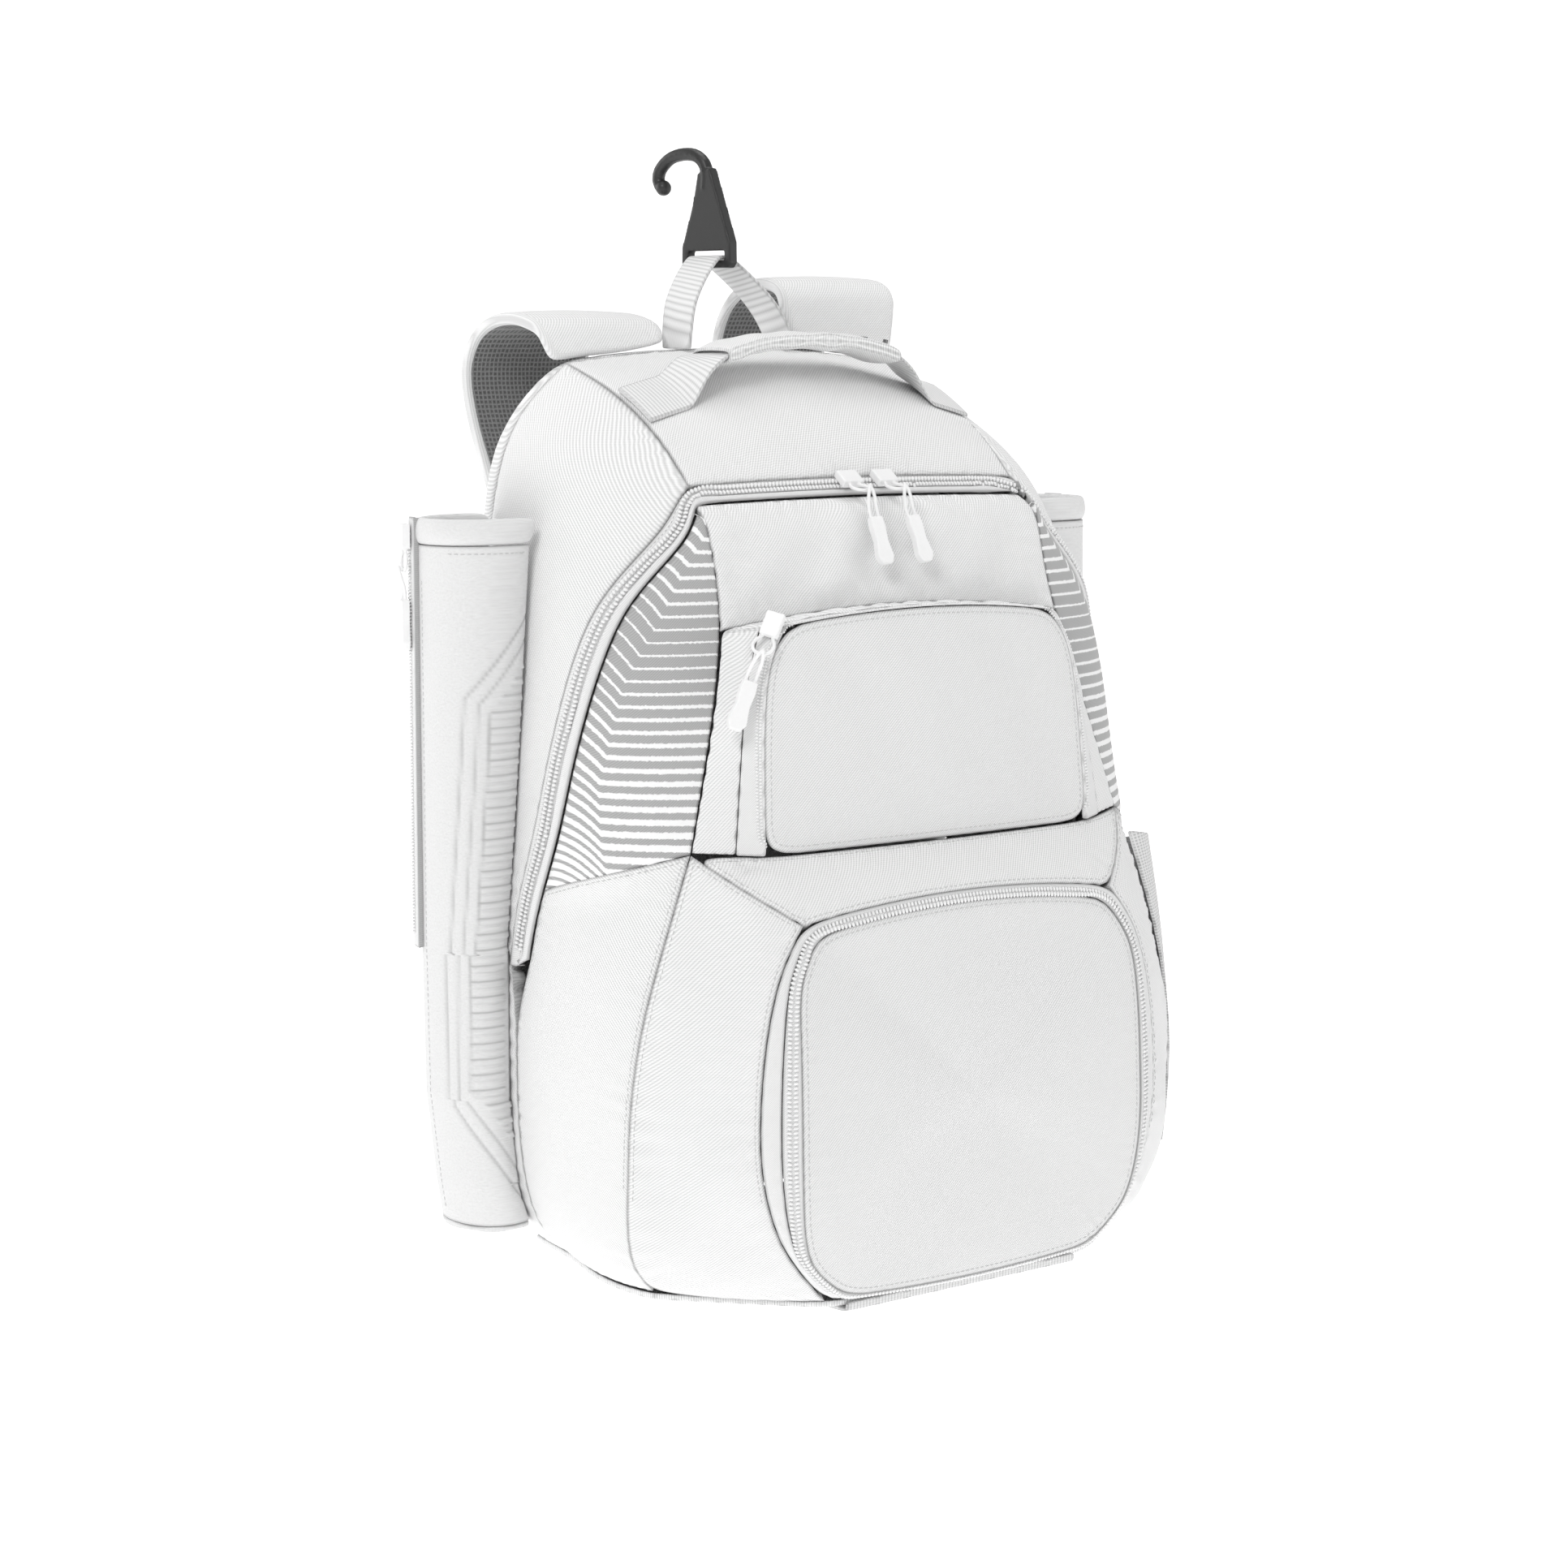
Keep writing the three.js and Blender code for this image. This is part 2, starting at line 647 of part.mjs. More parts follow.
function lowerSideLine(i) {
  const row = lowerFlankRows[i];
  const a = row >= rowOf.zip ? zipFront(row) : onRow(frontCurve, row);
  const b = crease[i];
  return [0, 0.25, 0.5, 0.75, 1].map((t) => {
    const p = a.clone().lerp(b, t);
    return p.addScaledVector(inward(p), -20 * t * (1 - t));
  });
}

function stripeFoot() {
  const a = innerSeam(rowOf.stripes);
  const b = zipFront(rowOf.stripes);
  const bulge = chevronBulge * a.distanceTo(b);
  return steps(4).map((t) => {
    const p = a.clone().lerp(b, t);
    return p.addScaledVector(inward(p), -4 * bulge * t * (1 - t));
  });
}

function lowerSideGrid() {
  const grid = lowerFlankRows.map((_, i) => lowerSideLine(i));
  grid[grid.length - 1] = stripeFoot().reverse();
  return grid;
}

function buildLowerSides() {
  const grid = lowerSideGrid();
  panel("lower_side_right", grid, CLOTH);
  panel("lower_side_left", mirrored(grid), CLOTH);
}

function buildLowerPocket() {
  const halfway = ringLoop.map((p, i) => p.clone().lerp(lidLoop[i], 0.5));
  bandBetween("lower_pocket_gusset", ringLoop, halfway, WEB);
  bandBetween("lower_pocket_zip", halfway, lidLoop, WEB);
  const centre = lidLoop.reduce((s, p) => s.add(p), V(0, 0, 0)).divideScalar(lidLoop.length);
  const shrunk = lidLoop.map((p) => {
    const step = centre.clone().sub(p);
    return p.clone().add(step.setLength(seamGap));
  });
  addMesh("lower_pocket_front", padGeometry(shrunk, lidCrown, lidThick), POCKET);
}

// The padded back: the outline of the rear edge, arched at the top.
function buildBack() {
  const right = sideRows.map((row) => flank(row, 0));
  const top = acrossTop.slice(1, -1).reverse().map((x) => crown(x, 0));
  const outline = [...right, ...top, ...right.slice(1).reverse().map(flipX), flipX(right[0])];
  const placed = outline.map((p) => ({ u: p.x, v: p.z, at: V(p.x, rearFace + seamGap, p.z) }));
  addMesh("back_panel", plateGeometry(placed, V(0, backThick, 0)), CLOTH);
}

// The base: its edge follows the walls' lower edge, and its middle is flat.
function buildBase() {
  const side = [0, 0.5].map((v) => flank(0, v));
  const low = lowerSideLine(0);
  const front = [0.25, 0.5, 0.75, 1].map((t) => crease[0].clone().lerp(ringSide[0], t));
  const right = [...side, ...low, ...front];
  const half = ringBottom.slice(0, 2);
  const loop = [
    ...right,
    ...half,
    V(0, ringBottom[2].y, ringBottom[2].z),
    ...half.slice().reverse().map(flipX),
    ...right.slice().reverse().map(flipX),
  ];
  const centre = V(0, coreY, 0);
  const ring = (share, rise, lift) =>
    loop.map((p) => {
      const z = mix(baseThick, p.z - seamGap, rise) + lift;
      return V(p.x * share, mix(centre.y, p.y, share), z);
    });
  const shares = [
    { share: 0.995, rise: 1 },
    { share: 0.94, rise: 0.4 },
    { share: 0.84, rise: 0 },
  ];
  const points = [];
  const faces = [];
  const count = loop.length;
  for (const [sideIndex, lift] of [0, -baseThick].entries()) {
    const start = points.length;
    shares.forEach(({ share, rise }) => points.push(...ring(share, rise, lift)));
    points.push(V(0, centre.y, baseThick + lift));
    const tri = (a, b, c) => faces.push(sideIndex ? [a, c, b] : [a, b, c]);
    for (let j = 0; j < count; j += 1) {
      const k = (j + 1) % count;
      for (let r = 0; r < shares.length - 1; r += 1) {
        const a = start + r * count;
        tri(a + j, a + k, a + count + k);
        tri(a + j, a + count + k, a + count + j);
      }
      const inner = start + (shares.length - 1) * count;
      tri(inner + j, inner + k, points.length - 1);
    }
  }
  const other = points.length / 2;
  for (let j = 0; j < count; j += 1) {
    const k = (j + 1) % count;
    faces.push([j, j + other, k + other], [j, k + other, k]);
  }
  addMesh("base_panel", closedGeometry(points, faces), CLOTH);
}

// Bat sleeve section: across is a share of the reach beyond the body, back the distance in y.
const sleeveSection = [
  { across: 0.3, y: -48 },
  { across: 0.68, y: -45.5 },
  { across: 0.92, y: -36 },
  { across: 1, y: -22 },
  { across: 0.94, y: -8 },
  { across: 0.74, y: 4 },
  { across: 0.42, y: 12 },
];
const sleeveTaper = [
  { z: sleeveFoot, reach: 0.955 },
  { z: 50, reach: 0.97 },
  { z: 94, reach: 0.995 },
  { z: 165, reach: 1 },
  { z: 260, reach: 1 },
  { z: sleeveTop, reach: 1 },
];

// The point of the flank at a height and a depth, moved out by a clearance.
function flankBeside(z, y, clear) {
  let low = 0;
  let high = 1;
  for (let i = 0; i < 24; i += 1) {
    const v = (low + high) / 2;
    if (flankAt(z, v).y > y) low = v;
    else high = v;
  }
  const p = flankAt(z, low);
  return p.addScaledVector(inward(p), -clear).setZ(z);
}

function sleeveLine(z, reach, wall = 0) {
  const seam = flankBeside(z, sleeveSeamY + wall, sleeveClear);
  const rear = flankBeside(z, sleeveRearY - wall, sleeveClear);
  const limit = reach * sleeveReach;
  const line = sleeveSection.map((c) => {
    const base = mix(seam.x, rear.x, (seam.y - c.y) / (seam.y - rear.y));
    return V(mix(base, limit, c.across), c.y, z);
  });
  return [seam, ...line, rear];
}

// Moves a point of a sleeve towards the sleeve's own middle.
const sleeveCore = (p) => V(175, -17, p.z);
const intoSleeve = (p) => {
  const step = sleeveCore(p).sub(p);
  return step.normalize();
};

function sleeveInner(line, wall) {
  const ends = sleeveLine(line[0].z, 1, wall);
  return line.map((p, i) => {
    if (i === 0 || i === line.length - 1) return ends[i];
    return p.clone().addScaledVector(intoSleeve(p), wall);
  });
}

function buildSleeve(side, mirror) {
  const turn = mirror ? mirrored : (grid) => grid;
  const rows = sleeveTaper.map((r) => sleeveLine(r.z, r.reach));
  const inner = rows.map((line) => sleeveInner(line, sleeveWall));
  const outerRows = turn(rows);
  addMesh("bat_sleeve_" + side, wallGeometry(outerRows, turn(inner)), NEOPRENE);
  const rimRows = [sleeveTop + seamGap, sleeveTop + sleeveRimTall].map((z) => sleeveLine(z, rimReach));
  const rimInner = rimRows.map((line) => sleeveInner(line, sleeveRimWall));
  addMesh("sleeve_rim_" + side, wallGeometry(turn(rimRows), turn(rimInner)), NEOPRENE);
  const footZ = sleeveFoot - seamGap;
  const footLine = sleeveLine(footZ, sleeveTaper[0].reach);
  footLine.push(...[-3, -17, -31].map((y) => flankBeside(footZ, y, sleeveClear)));
  const outline = turn([footLine])[0].map((p) => ({ u: p.x, v: p.y, at: p.clone() }));
  addMesh("sleeve_base_" + side, plateGeometry(outline, V(0, 0, -baseThick)), NEOPRENE);
  const zipRows = [sleeveZipEnd, 260, sleeveTop + sleeveRimTall].map((z) => {
    const line = sleeveLine(z, rimReach);
    const at = line[zipSpot];
    const out = intoSleeve(at).negate();
    const along = V(-out.y, out.x, 0);
    return [-0.5, 0, 0.5].map((s) => {
      const lift = tapeLift - 4 * s * s * tapeBow;
      return at.clone().addScaledVector(out, lift).addScaledVector(along, s * sleeveZipWide);
    });
  });
  const lifted = (p) => p.clone().addScaledVector(intoSleeve(p), -tapeThick);
  const zipOuter = zipRows.map((line) => line.map(lifted));
  addMesh("sleeve_zip_" + side, wallGeometry(turn(zipOuter), turn(zipRows)), WEB);
}

// The stretch pocket stands off the right side, open at the top.
function buildMeshPocket() {
  const grid = lowerSideGrid();
  const surface = grid.map((line) => curveOf(line));
  const at = (z, t) => {
    let low = 0;
    let high = grid.length - 1;
    const point = (row) => {
      const i = Math.min(grid.length - 2, Math.floor(row));
      return surface[i].getPoint(t).lerp(surface[i + 1].getPoint(t), row - i);
    };
    for (let i = 0; i < 30; i += 1) {
      const row = (low + high) / 2;
      if (point(row).z < z) low = row;
      else high = row;
    }
    return point(low);
  };
  const rows = steps(5).map((u) => {
    const z = mix(meshFoot, meshTop, u);
    const foot = 1.6;
    const stand = meshStand * Math.sin((u * 0.7 + 0.05) * Math.PI * 0.62);
    return steps(6).map((s) => {
      const p = at(z - 16 * u * (1 - s), mix(0.12, 0.985, s));
      return p.addScaledVector(inward(p), -meshWall - foot - stand * 4 * s * (1 - s));
    });
  });
  addMesh("mesh_pocket_right", wallGeometry(rows, thicken(rows, meshWall)), WEB);
}

// The folded flap that hinges the lower pocket at its foot.
function buildFlap() {
  const { y, z } = ringBottom[2];
  const stand = flapThick + 1;
  const under = -flapThick - 0.4;
  const rows = [
    V(0, y - stand, z - 0.5),
    V(0, y - stand + 0.2, -1),
    V(0, y + flapReach * 0.25, under),
    V(0, y + flapReach, under),
  ];
  const grid = [-1, -0.5, 0, 0.5, 1].map((s) => rows.map((p) => p.clone().setX(s * flapHalf)));
  const inner = grid.map((line) =>
    line.map((p, i) => p.clone().add(i < 2 ? V(0, flapThick, i ? 0.8 : 0) : V(0, 0.4 * (3 - i), flapThick))),
  );
  addMesh("pocket_hinge_flap", wallGeometry(grid, inner), WEB);
}

// A flat band along a path. Each row of the table has its middle, the way across and the way up.
function bandGeometry(rows, wide, thick) {
  const line = (r, lift) =>
    [-0.5, 0.5].map((s) =>
      r.at.clone().addScaledVector(r.across, s * wide).addScaledVector(r.up, lift * thick),
    );
  return wallGeometry(rows.map((r) => line(r, 0.5)), rows.map((r) => line(r, -0.5)));
}

// The way up for each row of a path whose way across is known.
function framed(points, acrossOf) {
  return points.map((p, i) => {
    const before = points[Math.max(0, i - 1)];
    const after = points[Math.min(points.length - 1, i + 1)];
    const tangent = after.clone().sub(before).normalize();
    const side = acrossOf(i / (points.length - 1));
    const up = V(0, 0, 0).crossVectors(side, tangent).normalize();
    return { at: p, across: side, up };
  });
}

// The handle's webbing lies on the top panel at its feet and bows up between them.
const handleFoot = [1, 0.94, 0.87, 0.8, 0.745].map((s) => s * (topHalf - 1));
const handleFree = [
  ...[1.22, 1.11].map((s) => s * wrapHalf),
  ...steps(6).map((s) => (1 - s) * wrapHalf),
];
const handleColumns = [-0.5, -0.25, 0, 0.25, 0.5];

function handleLine(x, curve) {
  const side = Math.abs(x);
  const laid = handleColumns.map((s) => crownAt(side, handleY + s * handleWide));
  const lift = webThick / 2 + seamGap;
  const footX = handleFoot.at(-1);
  if (side >= footX) return laid.map((p) => p.add(V(0, 0, lift)).setX(x));
  const z = curve.find((p) => p.x >= side).z;
  const share = clampNumber((footX - side) / (footX - wrapHalf), 0, 1);
  return laid.map((p, i) => {
    const drop = (p.z - laid[2].z) * (1 - share);
    return V(x, handleY + handleColumns[i] * handleWide, z + drop);
  });
}

function buildHandle() {
  const lift = webThick / 2 + seamGap;
  const handleRise = bagHeight - handleDrop;
  const path = [
    V(0, handleY, handleRise),
    V(wrapHalf * 0.55, handleY, handleRise - 1.5),
    V(wrapHalf + 1, handleY, handleRise - 8),
    V(topHalf * 0.66, handleY, mix(crownAt(topHalf * 0.66, handleY).z, handleRise, 0.45)),
    crownAt(handleFoot.at(-1), handleY).add(V(0, 0, lift)),
  ];
  const curve = curveOf(path).getPoints(400);
  const half = [...handleFoot, ...handleFree];
  const xs = [...half, ...half.slice(0, -1).reverse().map((x) => -x)];
  const middle = xs.map((x) => handleLine(x, curve));
  const shifted = (lift2) => middle.map((line) => line.map((p) => p.clone().add(V(0, 0, lift2))));
  addMesh("handle_webbing", wallGeometry(shifted(webThick / 2), shifted(-webThick / 2)), WEB);
  const wrapped = middle.filter((line) => Math.abs(line[0].x) <= wrapHalf).map((line) => line[2]);
  const tube = (wall) =>
    wrapped.map((p) =>
      steps(12)
        .slice(0, 12)
        .map((t) => {
          const angle = t * 2 * Math.PI;
          const flat = Math.sign(Math.cos(angle)) * Math.abs(Math.cos(angle)) ** 0.6;
          const side = flat * (wrapWide / 2 - wall * 0.55);
          const full = Math.sign(Math.sin(angle)) * Math.abs(Math.sin(angle)) ** 0.6;
          const up = full * (wrapThick / 2 - wall);
          return p.clone().add(V(0, side, up));
        }),
    );
  addMesh("handle_wrap", wallGeometry(tube(0), tube(wrapWall), true), CLOTH);
}

// The hook's plane: a runs along it to the back, h up from the slot.
const hookAway = V(-Math.sin(hookYaw), Math.cos(hookYaw), 0);
const hookAt = (a, h) => V(0, hookSlotY, bagHeight + hookStand + h).addScaledVector(hookAway, a);
const crookTop = { a: 18, h: 52.4 };

function buildHook() {
  const slotWide = hookWebWide / 2 + 1.2;
  const slotTall = 5;
  const foot = slotWide + 4;
  const outline = [
    { a: -2.4, h: 45 },
    { a: -foot, h: 6.5 },
    { a: -foot - 0.2, h: -4 },
    { a: -foot + 2, h: -6.4 },
    { a: foot - 2, h: -6.4 },
    { a: foot + 0.2, h: -4 },
    { a: foot, h: 5 },
    { a: 9.6, h: 26 },
    { a: 5.9, h: 42 },
  ];
  const shape = new THREE.Shape(outline.map((c) => new THREE.Vector2(c.a, c.h)));
  shape.holes.push(
    new THREE.Path([
      new THREE.Vector2(-slotWide, -slotTall / 2),
      new THREE.Vector2(slotWide, -slotTall / 2),
      new THREE.Vector2(slotWide, slotTall / 2),
      new THREE.Vector2(-slotWide, slotTall / 2),
    ]),
  );
  const plate = new THREE.ExtrudeGeometry(shape, { depth: hookThick, bevelEnabled: false });
  plate.translate(0, 0, -hookThick / 2);
  const crook = [
    { a: 2.2, h: 34 },
    { a: 1.7, h: 41 },
    { a: 3.2, h: 46.5 },
    { a: 8.6, h: 51 },
    crookTop,
    { a: 29, h: 50.2 },
    { a: 36.6, h: 43.6 },
    { a: 37, h: 38.2 },
    { a: 34, h: 35.4 },
  ].map((c) => V(c.a, c.h, 0));
  const wire = barGeometry(crook, hookWire, 8, 22);
  const ball = new THREE.IcosahedronGeometry(4.3, 1).translate(33.6, 35.6, 0);
  const solid = toSolid(plate).add(toSolid(wire)).add(toSolid(ball));
  const geometry = fromSolid(solid);
  const rise = V(0, 0, 1);
  const frame = new THREE.Matrix4().makeBasis(hookAway, rise, V(0, 0, 0).crossVectors(hookAway, rise));
  frame.setPosition(hookAt(0, 0));
  geometry.applyMatrix4(frame);
  addMesh("fence_hook", geometry, BLACK, 0.45);
}

function buildHookStrap() {
  const foot = (share) => crown(share * topHalf, 0).setY(rearFace).add(V(0, 0, seamGap));
  const normal = V(hookAway.y, -hookAway.x, 0);
  const apex = hookAt(0, -0.8);
  const bend = hookWebWide / 5;
  const beside = (way) => apex.clone().addScaledVector(normal, way * bend).setZ(apex.z - 0.8);
  const right = [
    foot(0.327),
    foot(0.312).add(V(0, 1.5, 9)),
    V(hookWebWide, rearFace + backThick, bagHeight + hookStand * 0.45),
    beside(1),
  ];
  const left = [...right.slice(0, -1).map(flipX), beside(-1)];
  const rows = framed(smoothed([...right, apex, ...left.reverse()], 25), (t) => {
    const share = Math.min(1, 2.4 * (0.5 - Math.abs(t - 0.5)));
    return V(0, 1, 0).lerp(hookAway, share).normalize();
  });
  addMesh("hook_strap", bandGeometry(rows, hookWebWide, webThick), WEB);
}

// Shoulder straps: how far the pad's middle stands off the back, its height as a share of
// bagHeight, and how far it leans outwards.
const leftStrap = [
  { off: 2, z: 1.004, lean: 0 },
  { off: 21, z: 1.015, lean: 0 },
  { off: 43, z: 1.015, lean: 0 },
  { off: 60, z: 1, lean: 1 },
  { off: 69, z: 0.9696, lean: 2 },
  { off: 69, z: 0.9348, lean: 2 },
  { off: 60, z: 0.8826, lean: 2 },
  { off: 45, z: 0.8174, lean: 1 },
  { off: 31, z: 0.7283, lean: 0 },
  { off: 22, z: 0.6087, lean: 0 },
  { off: 18, z: 0.4674, lean: 2 },
  { off: 16, z: 0.3261, lean: 6 },
  { off: 15, z: 0.2261, lean: 10 },
];
const rightStrap = [
  { off: -3.5, z: 1.03, lean: 1 },
  { off: 0, z: 1.048, lean: 1 },
  { off: 13, z: 1.057, lean: 1 },
  { off: 33, z: 1.052, lean: 1 },
  { off: 51, z: 1.026, lean: 2 },
  { off: 61, z: 0.9826, lean: 3 },
  { off: 61, z: 0.9304, lean: 3 },
  { off: 53, z: 0.8696, lean: 3 },
  { off: 39, z: 0.7826, lean: 2 },
  { off: 28, z: 0.6957, lean: 0 },
  { off: 21, z: 0.587, lean: 0 },
  { off: 18, z: 0.4565, lean: 2 },
  { off: 16, z: 0.3261, lean: 6 },
  { off: 15, z: 0.2261, lean: 10 },
];

function strapRows(table, sign) {
  const middle = strapInner + strapWide / 2;
  const path = smoothed(
    table.map((r) => V(sign * (middle + r.lean), rearFace + backThick + r.off, r.z * bagHeight)),
    25,
  );
  return framed(path, () => V(1, 0, 0));
}

function buildStrap(side, table, sign) {
  const rows = strapRows(table, sign);
  const lines = (lift) =>
    rows.map((r) =>
      [-0.5, -0.25, 0, 0.25, 0.5].map((s) =>
        r.at
          .clone()
          .addScaledVector(r.across, s * strapWide)
          .addScaledVector(r.up, lift * strapThick * (1 - 1.2 * s * s)),
      ),
    );
  const outer = lines(0.5);
  const inner = lines(-0.5);
  const first = (lift) =>
    [-0.5, -0.25, 0, 0.25, 0.5].map((s) => {
      const x = rows[0].at.x + s * strapWide * rootShare;
      const edge = Math.abs(x) < topHalf ? crown(x, 0) : rearEdgeAt(Math.abs(x));
      return V(x, rearFace + backThick / 2 + lift * backThick, edge.z + rootGap + rootCurl * s * s);
    });
  outer.unshift(first(-0.5));
  inner.unshift(first(0.5));
  addMesh("shoulder_strap_" + side, wallGeometry(outer, inner), CLOTH);
  const end = rows.at(-1).at;
  const webTop = end.clone().add(V(0, 0, -seamGap - 0.4));
  const anchorY = rearFace + backThick + webAnchor.off;
  const anchor = V(sign * webAnchor.x * halfWidth, anchorY, webAnchor.z * bagHeight);
  const sagging = [0.35, 0.7].map((t) => webTop.clone().lerp(anchor, t).add(V(0, webSag, 0)));
  const webPath = [webTop, ...sagging, anchor];
  const fall = anchor.clone().sub(webTop).normalize();
  const leaning = V(1, 0, 0).addScaledVector(fall, -fall.x).normalize();
  const webRows = framed(smoothed(webPath, 9), (t) =>
    V(1, 0, 0).lerp(leaning, Math.min(1, 4 * t)).normalize(),
  );
  addMesh("strap_webbing_" + side, bandGeometry(webRows, strapWebWide, webThick), WEB);
  const { at, up, across: flat } = webRows[3];
  const [wide, long, tall] = adjusterSize;
  const body = toSolid(new THREE.BoxGeometry(wide, long, tall));
  const slot = toSolid(new THREE.BoxGeometry(strapWebWide + 1, long * 2, webThick + 2));
  const frame = new THREE.Matrix4().makeBasis(flat, V(0, 0, 0).crossVectors(up, flat), up);
  frame.setPosition(at);
  const geometry = fromSolid(body.subtract(slot)).applyMatrix4(frame);
  addMesh("strap_adjuster_" + side, geometry, BLACK, 0.5);
}

function rearEdgeAt(x) {
  let low = 4;
  let high = lastRow;
  for (let i = 0; i < 40; i += 1) {
    const row = (low + high) / 2;
    if (flank(row, 0).x > x) low = row;
    else high = row;
  }
  return flank(low, 0);
}

// Where a slider's bail ends, in the slider's own frame, when it rises by so much.
const bailEnd = (rise, half) => V(0, bailRoot - half - bailSize[1], sliderSize[2] / 2 + rise);

// A zipper slider with its bail: the block rides on the teeth, and the bail hangs from its end.
function buildSlider(name, at, down, out, { sideways = false, rise = bailRise } = {}) {
  const side = V(0, 0, 0).crossVectors(out, down).normalize();
  const frame = new THREE.Matrix4().makeBasis(side, down.clone().negate(), out);
  frame.setPosition(at);
  const [wide, long, tall] = sliderSize;
  const block = new THREE.BoxGeometry(sideways ? long : wide, sideways ? wide : long, tall);
  block.translate(0, 0, tall / 2);
  const half = (sideways ? wide : long) / 2;
  const [bailX, bailY] = bailSize;
  const right = bailProfile.map((c) =>
    V(c.s * bailX, bailRoot - half - c.t * bailY, tall / 2 + rise * c.t ** 1.5),
  );
  const ring = [...right, ...right.slice(0, -1).reverse().map(flipX)];
  const bail = barGeometry(ring, bailWire, 5, 16);
  const geometry = fromSolid(toSolid(block).add(toSolid(bail))).applyMatrix4(frame);
  addMesh(name, geometry, WEB, 0.5, 0.1);
  return bailEnd(rise, half).applyMatrix4(frame);
}

// A pull: two strands of a loop that lie over the bail's end, and a tapered tab below them.
function buildPull(name, at, down, out) {
  const half = 2.3;
  const high = bailWire + loopWire + 0.4;
  const loop = [
    V(-half, -loopLong, 0),
    V(-half, -loopLong * 0.5, 0.2),
    V(-half * 0.7, -2.4, high * 0.8),
    V(0, 2, high),
    V(half * 0.7, -2.4, high * 0.8),
    V(half, -loopLong * 0.5, 0.2),
    V(half, -loopLong, 0),
  ];
  const cord = barGeometry(loop, loopWire, 5, 12);
  const [wide, long, thick] = tabSize;
  const right = tabProfile.map((c) => new THREE.Vector2(c.s * wide, -c.t * long));
  const left = tabProfile.map((c) => new THREE.Vector2(-c.s * wide, -c.t * long));
  const shape = new THREE.Shape([...right, ...left.reverse()]);
  const tab = new THREE.ExtrudeGeometry(shape, { depth: thick, bevelEnabled: false });
  tab.translate(0, 3 - loopLong, -thick / 2);
  const geometry = fromSolid(toSolid(cord).add(toSolid(tab)));
  const side = V(0, 0, 0).crossVectors(out, down).normalize();
  const frame = new THREE.Matrix4().makeBasis(side, down.clone().negate(), out);
  frame.setPosition(at);
  addMesh(name, geometry.applyMatrix4(frame), WEB, 0.5);
}

function buildPulls() {
  const over = V(0, -0.8, -0.6);
  const overOut = V(0, over.z, -over.y);
  const main = [
    { name: "main_left", x: -11, hang: V(0.02, -0.36, -0.93).normalize() },
    { name: "main_right", x: 11, hang: V(0.1, -0.36, -0.93).normalize() },
  ];
  main.forEach((c) => {
    const at = crown(c.x, 1).addScaledVector(overOut, 2.4);
    const end = buildSlider(c.name + "_slider", at, over, overOut, { sideways: true, rise: 5 });
    const out = V(0, c.hang.z, -c.hang.y).normalize();
    const square = out.addScaledVector(c.hang, -out.dot(c.hang)).normalize();
    buildPull(c.name + "_pull", end, c.hang, square);
  });
  const spot = (row, i) => flipX(innerSeam(row).clone().lerp(midSide[i], 0.8));
  const corner = spot(rowOf.fold, 5);
  const along = spot(rowOf.fold - 1, 4).sub(corner).normalize();
  const across = flipX(midSide[5]).sub(flipX(innerSeam(rowOf.fold)));
  const face = V(0, 0, 0).crossVectors(along, across).normalize();
  const end = buildSlider("mid_slider", corner.addScaledVector(face, 0.9), along, face, { rise: 3.3 });
  const hang = V(-0.4, 0, -0.917).normalize();
  const front = V(-0.3, -0.95, 0);
  front.addScaledVector(hang, -front.dot(hang)).normalize();
  buildPull("mid_pull", end.addScaledVector(front, 0.8), hang, front);
  const drop = V(0, 0, -1);
  [1, -1].forEach((sign) => {
    const at = sleeveLine(sleeveTop + 4, rimReach)[zipSpot];
    const away = intoSleeve(at).negate();
    at.addScaledVector(away, tapeThick + tapeLift + seamGap);
    if (sign < 0) [at, away].forEach((p) => p.setX(-p.x));
    const name = "sleeve_" + (sign > 0 ? "right" : "left");
    const end = buildSlider(name + "_slider", at, drop, away);
    buildPull(name + "_pull", end, drop, away);
  });
}

buildBack();
buildFlanks();
buildTop();
buildMainZip();
buildBase();
buildStripes();
buildUpperFront();
buildMidPocket();
buildLowerFront();
buildLowerSides();
buildLowerPocket();
buildFlap();
buildMeshPocket();
buildSleeve("right", false);
buildSleeve("left", true);
buildHandle();
buildHookStrap();
buildHook();
buildStrap("left", leftStrap, -1);
buildStrap("right", rightStrap, 1);
buildPulls();

const seat = hookAt(crookTop.a, crookTop.h - hookWire);
bag.position.copy(seat).negate();
const assembly = new THREE.Group();
assembly.add(bag);
assembly.userData.seat = seat.toArray();

export default assembly;
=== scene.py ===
"""Finishes for the baseball bat backpack: cloth, zippers, padding, webbing and hook.

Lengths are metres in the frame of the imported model, whose origin is the seat of the fence hook.
Reliefs and profiles are worked out in the bag's own frame: millimetres from under its middle,
x to its right seen from the front, y to the back and z up.
"""

import json
import logging
import math
from dataclasses import dataclass
from enum import Enum
from typing import Callable, Iterable, Optional, Sequence

import bmesh
import bpy
import numpy as np
from mathutils import Matrix, Vector
from mathutils.bvhtree import BVHTree
from mathutils.kdtree import KDTree

